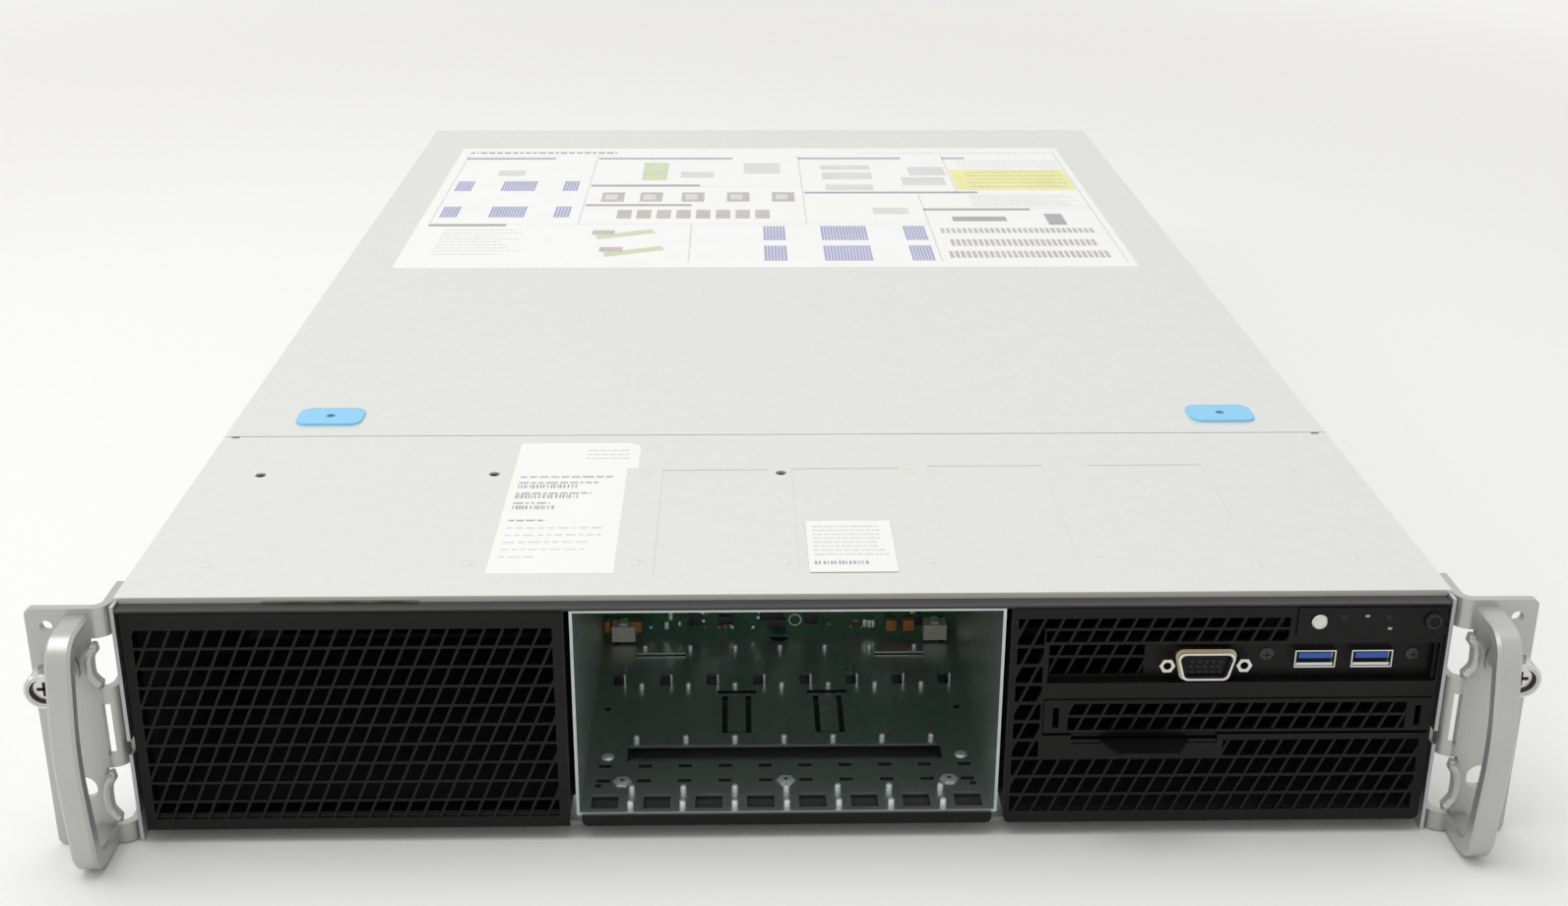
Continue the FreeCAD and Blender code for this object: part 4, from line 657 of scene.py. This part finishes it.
def make_bay_screws():
    """Three clinched hexagon studs with cross recesses, and two dome rivets."""
    heads, slots = Shape(), Shape()
    for x in STUD_PLACES:
        y = front + STUD_ROW
        heads.prism(polygon(x, y, STUD_RADIUS, 6), bay_floor, bay_floor + STUD_HEIGHT, bevel=0.1)
        heads.lathe(STUD_PROFILE, x, y, bay_floor)
        cross(slots, x, y, bay_floor + 0.82, 1.0)
    for x in DOME_PLACES:
        heads.lathe(DOME_PROFILE, x, front + DOME_ROW, bay_floor)
    heads.finish("bay_screws", "pin", slot="bright_steel")
    slots.finish("bay_screw_recesses", "dark", slot="bright_steel")


def cross(shape, a, b, level, reach, axis="z"):
    """Cross recess, as two thin crossed bars."""
    arm = reach * CROSS_ARM
    for wide, tall in ((reach, arm), (arm, reach)):
        shape.prism([(a - wide, b - tall), (a + wide, b - tall), (a + wide, b + tall),
                     (a - wide, b + tall)], level, level + CROSS_THICK, axis)


def make_bay_marks():
    """Holes and slots in the floor, and the half-round relief at its back, as dark marks of
    painted shade.
    """
    holes = Shape()

    def mark(outline):
        holes.prism(outline, bay_floor, bay_floor + MARK)

    for x, y, radius in ROUND_MARKS:
        for side in (-1, 1):
            mark(polygon(side * x, front + y, radius, 16))
    mark([(RELIEF_WIDE * math.cos(i * math.pi / 10),
           front + RELIEF_ROW - RELIEF_REACH * math.sin(i * math.pi / 10)) for i in range(11)])
    for column in range(SLOT_COLUMNS):
        x = (column - (SLOT_COLUMNS - 1) / 2) * SLOT_PITCH
        for y in SLOT_ROWS:
            mark(rounded(x - 2.3, x + 2.3, front + y - 1.0, front + y + 1.0, 0.3, 2))
    for side in (-1, 1):
        middle = side * LONG_SLOT_PLACE
        mark(rounded(middle - LONG_SLOT_HALF, middle + LONG_SLOT_HALF, front + 82.0,
                     front + 84.4, 0.6))
    holes.finish("bay_floor_holes", "dark", slot="sheet_steel")


def make_bay_tabs():
    """Small bent tabs at one side of each square hole."""
    tabs = Shape()
    near, far = TAB_SPAN
    for column in range(8):
        x = (column - 3.5) * DRIVE_PITCH + TAB_SHIFT
        tabs.prism([(x, bay_floor - 0.5), (x + TAB_THICK, bay_floor - 0.5),
                    (x + TAB_THICK, bay_floor + 3.6), (x, bay_floor + 4.0)],
                   front + near, front + far, "y", bevel=0.15)
    tabs.finish("bay_floor_tabs", "cage", slot="sheet_steel")


def make_bay_ramp():
    """Blade pressed down behind the wide slot's front edge, and painted shade under the floor.
    """
    blade, under_shade = Shape(), Shape()
    low = bay_floor - BAY_SHEET
    blade.prism([(front + y, low + up) for y, up in RAMP_SECTION], -RAMP_HALF, RAMP_HALF, "x")
    # Dark sheet of painted shade under the floor, seen through its openings.
    for near, far in UNDER_FLOOR_SHADE_SPANS:
        under_shade.block((-UNDER_FLOOR_SHADE_HALF, UNDER_FLOOR_SHADE_HALF), (front + near, front + far),
                     (low - 1.5, low - 1.1), 0.1)
    blade.finish("bay_ramp", "ramp", slot="sheet_steel")
    under_shade.finish("bay_under_floor_shade", "dark_cage", slot="sheet_steel")


# Chips on the backplane: middle in X and Z, width and height.
CHIPS = ((-56.5, 27.0, 9.0, 7.0), (-38.5, 29.0, 7.0, 12.0), (13.0, 30.0, 6.0, 12.0),
         (-3.0, 20.5, 9.0, 7.0), (56.0, 26.0, 9.0, 6.0), (-20.0, 45.0, 12.0, 12.0),
         (24.0, 52.0, 10.0, 10.0), (0.0, 66.0, 16.0, 8.0), (-33.0, 17.5, 5.0, 5.0),
         (-1.0, 15.0, 7.0, 4.5), (12.5, 18.0, 5.0, 5.0), (54.0, 17.0, 4.0, 5.0),
         (-21.0, 17.0, 5.5, 3.5))
SMALL_PARTS = 110
SMALL_SIZES = ((1.0, 2.0), (2.0, 1.0), (1.2, 1.2), (1.6, 3.2))
LATCH_SPANS = ((-68.5, -66.2), (-58.6, -54.0), (48.5, 53.0), (41.8, 46.0))
RING_PLACE = (6.2, 16.6)


def make_backplane_parts():
    """Chips, small parts and latches on the backplane, between and beside its sockets."""
    draw = random.Random(17)
    face = backplane_face
    chips, small, caps = Shape(), Shape(), Shape()
    orange, ring, keys = Shape(), Shape(), Shape()
    for x, z, wide, tall in CHIPS:
        chips.block((x - wide / 2, x + wide / 2), (face - 1.4, face),
                    (z - tall / 2, z + tall / 2), 0.15)
    for count in range(SMALL_PARTS):
        x, z = draw.uniform(-58, 58), 13.0 + 64.0 * draw.random() ** 2
        wide, tall = draw.choice(SMALL_SIZES)
        target = caps if count % 3 else small
        target.block((x, x + wide), (face - 0.7, face), (z, z + tall), 0.08)
    for span in LATCH_SPANS:
        orange.block(span, (face - 4.0, face - 0.2), (bay_floor + 3.5, bay_floor + 8.0), 0.3)
    ring.frame(polygon(*RING_PLACE, 2.6, 24), polygon(*RING_PLACE, 2.1, 24), face - 0.08, face)
    low, high = across("backplane_sockets")
    for side in (-1, 1):
        middle = side * (high.x - 4.5)
        keys.block((middle - 3.2, middle + 3.2), (low.y - 0.1, low.y + 0.3),
                   (low.z + 2.4, low.z + 3.4), 0.05)
        keys.block((middle - 1.5, middle + 1.5), (low.y + 1.0, high.y - 0.5),
                   (high.z - 0.1, high.z + 1.1), 0.1)
    chips.finish("backplane_chips", "chip", slot="black_plastic")
    small.finish("backplane_small_parts", "orange_plastic", slot="circuit_board")
    caps.finish("backplane_capacitors", "bright", slot="bright_steel")
    orange.finish("backplane_latches", "orange_plastic", slot="white_socket")
    ring.finish("backplane_ring_mark", "paper", slot="white_socket")
    keys.finish("backplane_socket_keys", "white_plastic", slot="white_socket")


# ---- Service panel ----

def connector_outline(x, z, wide, tall, taper):
    """D-shaped outline, wider at the top, with round corners."""
    points = []
    corners = ((wide, tall), (-wide, tall), (-wide + taper, -tall), (wide - taper, -tall))
    radius = min(tall, wide) * 0.45
    for turn, (a, b) in enumerate(corners):
        centre_a = a - math.copysign(radius, a)
        centre_b = b - math.copysign(radius, b)
        points += [around(x + centre_a, z + centre_b, radius, math.pi / 2 * (turn + step / 5))
                   for step in range(6)]
    return points


VIDEO_OUTER = (9.3, 4.9, 1.4)
VIDEO_INNER = (8.5, 4.2, 1.3)
VIDEO_COLLAR = (9.9, 5.5, 1.4)
VIDEO_ROWS = (0.0, -0.6, 0.0)
VIDEO_COLUMNS = 5
VIDEO_PITCH = 2.3
VIDEO_ROW_PITCH = 1.9

USB_WIDE = 13.4
USB_TONGUE_HALF = 5.3
USB_BACK_HALF = 6.1
USB_SPRING_HALF = 6.0

SERVICE_SCREWS = ((14.0, 65.7), (62.0, 65.5))
SERVICE_SCREW_PROFILE = ((2.5, 0.0), (2.5, -0.5), (2.0, -0.9), (1.0, -1.0))
PINHOLES = ((36.4, 81.0), (51.0, 81.0))
PINHOLE_PROFILE = ((1.1, 0.0), (1.1, -0.12), (0.6, -0.12))
WINDOWS = ((44.0, 81.5), (51.7, 77.0))


def make_video_details():
    """Plated shell in the video socket, gilt collar round it, and its fifteen contact holes in
    painted shade.
    """
    low, high = across("video_socket")
    x, z = centre_of(low, high)
    shell, collar, holes = Shape(), Shape(), Shape()
    shell.frame(connector_outline(x, z, *VIDEO_OUTER), connector_outline(x, z, *VIDEO_INNER),
                low.y - 0.4, high.y)
    collar.frame(connector_outline(x, z + 0.1, *VIDEO_COLLAR),
                 connector_outline(x, z + 0.1, *VIDEO_INNER), low.y + 1.2, high.y)
    for row, shift in enumerate(VIDEO_ROWS):
        for column in range(VIDEO_COLUMNS):
            holes.prism(polygon(x + (column - 2) * VIDEO_PITCH + shift,
                                z + VIDEO_ROW_PITCH - row * VIDEO_ROW_PITCH, 0.5, 10),
                        low.y - 0.06, low.y - 0.01, "y")
    shell.finish("video_shell", "bright", slot="bright_steel")
    collar.finish("video_collar", "gold", slot="bright_steel")
    holes.finish("video_hole_shade", "dark", slot="bright_steel")


def make_usb_details():
    """Blue tongue, bright spring and a back of painted shade in each port."""
    low, high = across("usb_ports")
    z = centre_of(low, high)[1]
    tongues, backs, springs = Shape(), Shape(), Shape()
    for x in (low.x + USB_WIDE / 2, high.x - USB_WIDE / 2):
        tongues.block((x - USB_TONGUE_HALF, x + USB_TONGUE_HALF), (low.y + 0.3, high.y - 0.8),
                      (z + 0.1, z + 2.2), 0.15)
        backs.block((x - USB_BACK_HALF, x + USB_BACK_HALF), (high.y - 0.9, high.y - 0.7),
                    (z - 2.5, z + 2.5))
        springs.block((x - USB_SPRING_HALF, x + USB_SPRING_HALF), (low.y + 0.4, high.y - 1.0),
                      (z - 2.65, z - 1.5), 0.2)
    tongues.finish("usb_tongues", "usb_blue", slot="black_plastic")
    backs.finish("usb_backs", "dark", slot="black_plastic")
    springs.finish("usb_springs", "bright", slot="bright_steel")


def make_service_screws():
    """Two dark cross-recess screws beside the ports."""
    heads, slots = Shape(), Shape()
    face = across("io_plate")[1].y - 1.0
    for x, z in SERVICE_SCREWS:
        heads.lathe(SERVICE_SCREW_PROFILE, service_x + x, z, face, "y")
        cross(slots, service_x + x, z, face - 1.06, 1.3, "y")
    heads.finish("service_screws", "black_rail", slot="black_mesh")
    slots.finish("service_screw_recesses", "dark", slot="black_mesh")


def make_control_marks():
    """Pinholes and status windows on the control strip."""
    low = across("control_panel")[0]
    pin, light = Shape(), Shape()
    for x, z in PINHOLES:
        pin.lathe(PINHOLE_PROFILE, service_x + x, z, low.y, "y", 14)
    for x, z in WINDOWS:
        light.prism(rounded(service_x + x - 0.7, service_x + x + 0.7, z - 0.4, z + 0.4, 0.2),
                    low.y - 0.06, low.y, "y")
    pin.finish("control_pinholes", "dark", slot="black_plastic")
    light.finish("control_windows", "ink", slot="silver_plastic")


def make_button_rims():
    """Raised ring on each push button."""
    for node, finish, slot in (("id_button", "bright", "silver_plastic"),
                               ("power_button", "black_rail", "black_plastic")):
        low, high = across(node)
        x, z = centre_of(low, high)
        radius = (high.x - low.x) / 2 - 0.5
        Shape().frame(polygon(x, z, radius, 28), polygon(x, z, radius - 0.45, 28),
                      low.y - 0.18, low.y + 0.1).finish(node + "_rim", finish, node, slot)


# ---- Captive screws ----

# The knurled barrel: change of radius, and depth behind the head's face.
KNURL_SIDES = 56
KNURL_RADIUS = 5.95
KNURL_DEPTH = 0.12
KNURL_BORE = 4.9
KNURL_SECTION = ((-0.5, 0.02), (0.0, 0.5), (0.0, 8.2), (-0.4, 8.8))


def make_thumbscrew_details(name):
    """Cross recess, knurled barrel and dark ring of a captive screw."""
    node = "thumbscrew_" + name
    low, high = across(node)
    x, z = centre_of(low, high)
    recess, barrel, ring = Shape(), Shape(), Shape()
    cross(recess, x, z, low.y + 1.9, 2.4, "y")
    loops = []
    for change, y in KNURL_SECTION:
        loops.append([(*around(x, z, KNURL_RADIUS + KNURL_DEPTH * (i % 2) + change,
                               2 * math.pi * i / KNURL_SIDES), low.y + y)
                      for i in range(KNURL_SIDES)])
    bore = polygon(x, z, KNURL_BORE, KNURL_SIDES)
    for y in (KNURL_SECTION[-1][1], KNURL_SECTION[0][1]):
        loops.append([(a, b, low.y + y) for a, b in bore])
    barrel.skin([[barrel.point("y", *spot) for spot in loop] for loop in loops], closed=True)
    ring.frame(polygon(x, z, 4.3, 36), polygon(x, z, 3.6, 36), low.y + 1.6, low.y + 2.1)
    recess.finish(node + "_recess", "dark", node, "bright_steel")
    barrel.finish(node + "_knurl", "bright", node, "bright_steel")
    ring.finish(node + "_ring", "black_rail", node, "bright_steel")


# ---- Rear: mains inlets, supply fans and what is inside the ports ----

INLET_LEFT = 3.0
INLET_WIDE = 27.0
INLET_TALL = 20.0
INLET_DEEP = 12.0
INLET_CORNER = 5.0
INLET_BACK = 0.5
BLADES = ((-7.0, -2.0), (0.0, 2.0), (7.0, -2.0))

OUTLET_FROM_RIGHT = 23.25
OUTLET_RADIUS = 15.0
OUTLET_DEEP = 3.0
GUARD_RINGS = (5.0, 8.2, 11.4, 14.4)
GUARD_WIRE = 0.7
FAN_HUB = ((5.2, -OUTLET_DEEP + 0.1), (5.2, -1.9), (4.9, -1.7))
FAN_BLADES = 7
BLADE_ROOT = 5.0
BLADE_TIP = 13.6
BLADE_SWEEP = 0.3
BLADE_SPREAD = 0.55

# Sockets at the back: widths, heights and places from the left end of the row.
JACK_FIRST = 26.0
JACK_PITCH = 18.0
JACK_WIDE = 16.0
JACK_TALL = 13.4
JACK_PINS = 8
JACK_PIN_PITCH = 1.02
STACK_WIDE = 14.6
STACK_TALL = 16.0
STACK_PLACES = (0.0, 142.0)
STACK_TONGUES = (4.2, 11.2)
VIDEO_PLACE = 106.0
VIDEO_WIDE = 31.0
VIDEO_TALL = 12.4
PORT_WELL = 3.5
PORT_WALL = 0.8


def inlet_outline(x, z, grow=0.0):
    """Mains inlet's opening: a rectangle with its two upper corners cut off."""
    wide, tall, corner = INLET_WIDE / 2 + grow, INLET_TALL / 2 + grow, INLET_CORNER
    return [(x - wide, z - tall), (x + wide, z - tall), (x + wide, z + tall - corner),
            (x + wide - corner, z + tall), (x - wide + corner, z + tall),
            (x - wide, z + tall - corner)]


def make_inlet_details(number):
    """Lining and three blades in a supply's mains inlet."""
    node = f"power_supply_{number}"
    low, high = across(node)
    x, z = low.x + INLET_LEFT + INLET_WIDE / 2, (low.z + high.z) / 2
    back = high.y - INLET_DEEP + INLET_BACK
    liner, blades = Shape(), Shape()
    liner.frame(inlet_outline(x, z, -0.02), inlet_outline(x, z, -1.6), back, high.y - 0.2)
    liner.prism(inlet_outline(x, z, -0.05), high.y - INLET_DEEP + 0.02, back, "y")
    for aside, up in BLADES:
        blades.block((x + aside - 1.0, x + aside + 1.0), (back, high.y - 1.5),
                     (z + up - 2.0, z + up + 2.0), 0.3)
    liner.finish(f"inlet_{number}_liner", "black_plastic", node, "black_plastic")
    blades.finish(f"inlet_{number}_blades", "bright", node, "bright_steel")


def make_outlet_details(number):
    """Wire guard, fan and a back of painted shade in a supply's round air outlet."""
    node = f"power_supply_{number}"
    low, high = across(node)
    x, z = high.x - OUTLET_FROM_RIGHT, (low.z + high.z) / 2
    guard, back, fan = Shape(), Shape(), Shape()
    for radius in GUARD_RINGS:
        guard.frame(polygon(x, z, radius, 36), polygon(x, z, radius - GUARD_WIRE, 36),
                    high.y - 0.9, high.y - 0.2)
    centre = Vector((x, z))
    for turn in range(2):
        angle = math.pi * (0.25 + 0.5 * turn)
        ray = Vector((math.cos(angle), math.sin(angle))) * GUARD_RINGS[-1]
        side = Vector((-ray.y, ray.x)).normalized() * 0.4
        guard.prism([tuple(centre + ray + side), tuple(centre - ray + side),
                     tuple(centre - ray - side), tuple(centre + ray - side)],
                    high.y - 1.5, high.y - 0.9, "y")
    back.lathe(((OUTLET_RADIUS - 0.1, -OUTLET_DEEP + 0.02),
                (OUTLET_RADIUS - 0.1, -OUTLET_DEEP + 0.1)), x, z, high.y, "y", 36)
    fan.lathe(FAN_HUB, x, z, high.y, "y", 32)
    for blade in range(FAN_BLADES):
        root = 2 * math.pi * blade / FAN_BLADES
        tip = root + BLADE_SWEEP
        fan.prism([around(x, z, radius, angle)
                   for radius, angle in ((BLADE_ROOT, root), (BLADE_TIP, tip),
                                         (BLADE_TIP, tip + BLADE_SPREAD),
                                         (BLADE_ROOT, root + BLADE_SPREAD))],
                  high.y - OUTLET_DEEP + 0.2, high.y - OUTLET_DEEP + 0.8, "y")
    guard.finish(f"supply_{number}_fan_guard", "bright", node, "bright_steel")
    back.finish(f"supply_{number}_fan_back", "dark", node, "black_plastic")
    fan.finish(f"supply_{number}_fan", "black_plastic", node, "black_plastic")


def make_rear_port_details():
    """Linings, contacts and tongues in the sockets at the back."""
    low, high = across("rear_ports")
    well = high.y - PORT_WELL
    near, far = well + 0.02, well + 0.2
    dark, tongues, contacts, shell = Shape(), Shape(), Shape(), Shape()

    def line_port(left, wide, tall):
        dark.block((left + PORT_WALL, left + wide - PORT_WALL), (near, far),
                   (low.z + PORT_WALL, low.z + tall - PORT_WALL))

    for number in range(4):
        left = low.x + JACK_FIRST + JACK_PITCH * number
        line_port(left, JACK_WIDE, JACK_TALL)
        for pin in range(JACK_PINS):
            x = left + JACK_WIDE / 2 + (pin - (JACK_PINS - 1) / 2) * JACK_PIN_PITCH
            contacts.block((x - 0.2, x + 0.2), (far, well + 0.8), (low.z + 6.5, low.z + 11.5))
    for place_x in STACK_PLACES:
        left = low.x + place_x
        line_port(left, STACK_WIDE, STACK_TALL)
        for up in STACK_TONGUES:
            tongues.block((left + 2.4, left + STACK_WIDE - 2.4), (far, high.y - 0.8),
                          (low.z + up, low.z + up + 2.0), 0.15)
        shell.block((left + 0.7, left + STACK_WIDE - 0.7), (far, high.y - 0.3),
                    (low.z + 7.7, low.z + 8.5), 0.1)
    line_port(low.x + VIDEO_PLACE, VIDEO_WIDE, VIDEO_TALL)
    x, z = low.x + VIDEO_PLACE + VIDEO_WIDE / 2, low.z + VIDEO_TALL / 2
    shell.frame(connector_outline(x, z, 9.0, 4.6, 1.4), connector_outline(x, z, 8.3, 4.0, 1.3),
                far, high.y - 0.1)
    for side in (-1, 1):
        shell.prism(polygon(x + side * 12.5, z, 2.5, 6), far, high.y - 0.1, "y", 0.2)
    dark.finish("rear_port_linings", "black_plastic", slot="black_plastic")
    tongues.finish("rear_usb_tongues", "black_plastic", slot="black_plastic")
    contacts.finish("rear_jack_contacts", "gold", slot="bright_steel")
    shell.finish("rear_port_shells", "bright", slot="bright_steel")


# ---- Rack handles ----

HOOK_ROOT = 222.4
HOOK_BENDS = ((-2.6, 0.0), (-2.4, 1.4), (-1.0, 3.0), (0.0, 4.6), (0.2, 7.0), (0.1, 9.5),
              (-0.1, 11.5), (-0.8, 13.2), (-2.0, 14.8), (-2.4, 16.6))
HOOK_PLACES = ((8.6, 1.14), (58.2, 0.96))
HOOK_FLAT = 1.7
HOOK_DEEP = 2.6
HOOK_THIN_END = 0.55
HOOK_SIDES = 12
HOOK_SET_OUT = 0.9


def make_hook_ribs(side, name):
    """Round S-shaped ribs cast on the ear beside its two windows."""
    ribs = Shape()
    out = Vector((0, -1, 0))
    for low, stretch in HOOK_PLACES:
        path = [Vector((side * (HOOK_ROOT + bend), 0, low + 1.0 + up * stretch))
                for bend, up in HOOK_BENDS]
        last = len(path) - 1
        rings = []
        for i, spot in enumerate(path):
            along = (path[min(i + 1, last)] - path[max(i - 1, 0)]).normalized()
            flat = along.cross(out)
            thin = HOOK_THIN_END if i in (0, last) else 1.0
            ring = []
            for turn in range(HOOK_SIDES):
                angle = 2 * math.pi * turn / HOOK_SIDES
                at = spot + (flat * math.cos(angle) * HOOK_FLAT * thin
                             + out * math.sin(angle) * HOOK_DEEP * thin)
                ring.append(ribs.mesh.verts.new(
                    Vector((at.x, front - HOOK_SET_OUT + at.y, at.z)) * MM))
            rings.append(ring)
        ribs.skin(rings, closed=False)
    ribs.finish(f"handle_{name}_ribs", "silver", slot="silver_casting")


# ---- Stage ----

CAMERA_PLACE = (-15.3, -546.4, 353.9)
CAMERA_PITCH = 21.52
CAMERA_YAW = 1.43
CAMERA_ROLL = 0.27
CAMERA_LENS = 43.8
CAMERA_REACH = (0.02, 50.0)

BACKGROUND = (0.895, 0.89, 0.87)
SKY_LIGHT = (1.0, 1.0, 0.985)
SKY_STRENGTH = 0.56
FLOOR_HALF = 8.0
FLOOR_NEAR = (0.93, 0.93, 0.915)
# Painted shade: the floor is darker and warmer away from the server.
FLOOR_FAR_SHADE = (0.86, 0.855, 0.83)
FLOOR_SHADE_SPAN = (0.3, 1.4)
FLOOR_FADES = (0.5, 1.3)

# Name, place and size in metres, and power.
LAMPS = (("lamp_above", (-0.5, -0.2, 2.4), 2.2, 32.0),
         ("lamp_left", (-2.3, -0.4, 1.4), 1.2, 7.0))


def make_camera():
    """Camera in front of the server, a little to its left, looking down at it."""
    data = bpy.data.cameras.new("camera")
    data.lens = CAMERA_LENS
    data.clip_start, data.clip_end = CAMERA_REACH
    camera = bpy.data.objects.new("camera", data)
    x, y, z = CAMERA_PLACE
    turn = (Matrix.Rotation(math.radians(-CAMERA_YAW), 4, "Z")
            @ Matrix.Rotation(math.radians(90 - CAMERA_PITCH), 4, "X")
            @ Matrix.Rotation(math.radians(CAMERA_ROLL), 4, "Z"))
    camera.matrix_world = Matrix.Translation(Vector((x, front + y, z)) * MM) @ turn
    bpy.context.scene.collection.objects.link(camera)
    bpy.context.scene.camera = camera


def background_rays(tree):
    """1 for rays that show the background: seen, mirrored or through glass."""
    path = tree.nodes.new("ShaderNodeLightPath")
    seen = path.outputs["Is Camera Ray"]
    for ray in ("Is Glossy Ray", "Is Transmission Ray"):
        either = tree.nodes.new("ShaderNodeMath")
        either.operation = "MAXIMUM"
        tree.links.new(seen, either.inputs[0])
        tree.links.new(path.outputs[ray], either.inputs[1])
        seen = either.outputs["Value"]
    return seen


def make_floor():
    """Pale floor, darkening outwards in painted shade, which far from the server shows the
    background's own colour.
    """
    data = bpy.data.meshes.new("floor")
    data.from_pydata([(-FLOOR_HALF, -FLOOR_HALF, 0), (FLOOR_HALF, -FLOOR_HALF, 0),
                      (FLOOR_HALF, FLOOR_HALF, 0), (-FLOOR_HALF, FLOOR_HALF, 0)],
                     [], [(0, 1, 2, 3)])
    material, tree, shader = new_material("pale_floor", 0.75)
    space = place(tree, (1.0, 0.6, 1.0))
    distance = tree.nodes.new("ShaderNodeVectorMath")
    distance.operation = "LENGTH"
    tree.links.new(space, distance.inputs[0])
    away = distance.outputs["Value"]
    # Painted shade: the base colour darkens with distance from the middle.
    far = mix_values(tree, remap(tree, away, 0.0, 1.0, *FLOOR_SHADE_SPAN),
                     noise(tree, space, 1.5, 2.0), 0.12)
    tree.links.new(ramp(tree, far, ((0.0, FLOOR_NEAR), (1.0, FLOOR_FAR_SHADE))),
                   shader.inputs["Base Color"])
    glow = tree.nodes.new("ShaderNodeEmission")
    glow.inputs["Color"].default_value = (*BACKGROUND, 1.0)
    share = tree.nodes.new("ShaderNodeMath")
    share.operation = "MULTIPLY"
    tree.links.new(background_rays(tree), share.inputs[0])
    tree.links.new(remap(tree, away, 0.0, 1.0, *FLOOR_FADES), share.inputs[1])
    mixer = tree.nodes.new("ShaderNodeMixShader")
    tree.links.new(share.outputs["Value"], mixer.inputs["Fac"])
    tree.links.new(shader.outputs["BSDF"], mixer.inputs[1])
    tree.links.new(glow.outputs["Emission"], mixer.inputs[2])
    tree.links.new(mixer.outputs["Shader"], tree.nodes["Material Output"].inputs["Surface"])
    data.materials.append(material)
    floor = bpy.data.objects.new("floor", data)
    floor.location.z = cad_low.z
    bpy.context.scene.collection.objects.link(floor)


def make_world():
    """Pale surroundings: seen as they are, and dimmer as a light on the object."""
    world = bpy.data.worlds.new("surroundings")
    bpy.context.scene.world = world
    world.use_nodes = True
    tree = world.node_tree
    tree.nodes.clear()
    output = tree.nodes.new("ShaderNodeOutputWorld")
    mixer = tree.nodes.new("ShaderNodeMixShader")
    tree.links.new(background_rays(tree), mixer.inputs["Fac"])
    for slot_number, strength, colour in ((1, SKY_STRENGTH, SKY_LIGHT), (2, 1.0, BACKGROUND)):
        background = tree.nodes.new("ShaderNodeBackground")
        background.inputs["Color"].default_value = (*colour, 1.0)
        background.inputs["Strength"].default_value = strength
        tree.links.new(background.outputs["Background"], mixer.inputs[slot_number])
    tree.links.new(mixer.outputs["Shader"], output.inputs["Surface"])


def make_lamp(name, spot, size, power):
    """Soft square lamp aimed at the server's middle."""
    data = bpy.data.lights.new(name, "AREA")
    data.size = size
    data.energy = power
    lamp = bpy.data.objects.new(name, data)
    lamp.location = spot
    lamp.rotation_euler = (-Vector(spot)).to_track_quat("-Z", "Y").to_euler()
    bpy.context.scene.collection.objects.link(lamp)


def make_stage():
    """Camera, floor, surroundings and lamps."""
    make_camera()
    make_floor()
    make_world()
    for lamp in LAMPS:
        make_lamp(*lamp)
    bpy.context.scene.view_settings.view_transform = "Standard"


# ---- The whole object ----

def build():
    """Dresses the nodes, adds the small pieces and sets the stage."""
    finish_nodes()
    make_top_spots()
    make_gasket()
    make_tall_label()
    make_small_label()
    make_cover_label()
    make_bay_pins()
    make_bay_screws()
    make_bay_marks()
    make_bay_tabs()
    make_bay_ramp()
    make_backplane_parts()
    make_video_details()
    make_usb_details()
    make_service_screws()
    make_control_marks()
    make_button_rims()
    for side, name in ((-1, "left"), (1, "right")):
        make_thumbscrew_details(name)
        make_hook_ribs(side, name)
    for number in (1, 2):
        make_inlet_details(number)
        make_outlet_details(number)
    make_rear_port_details()
    make_stage()


build()
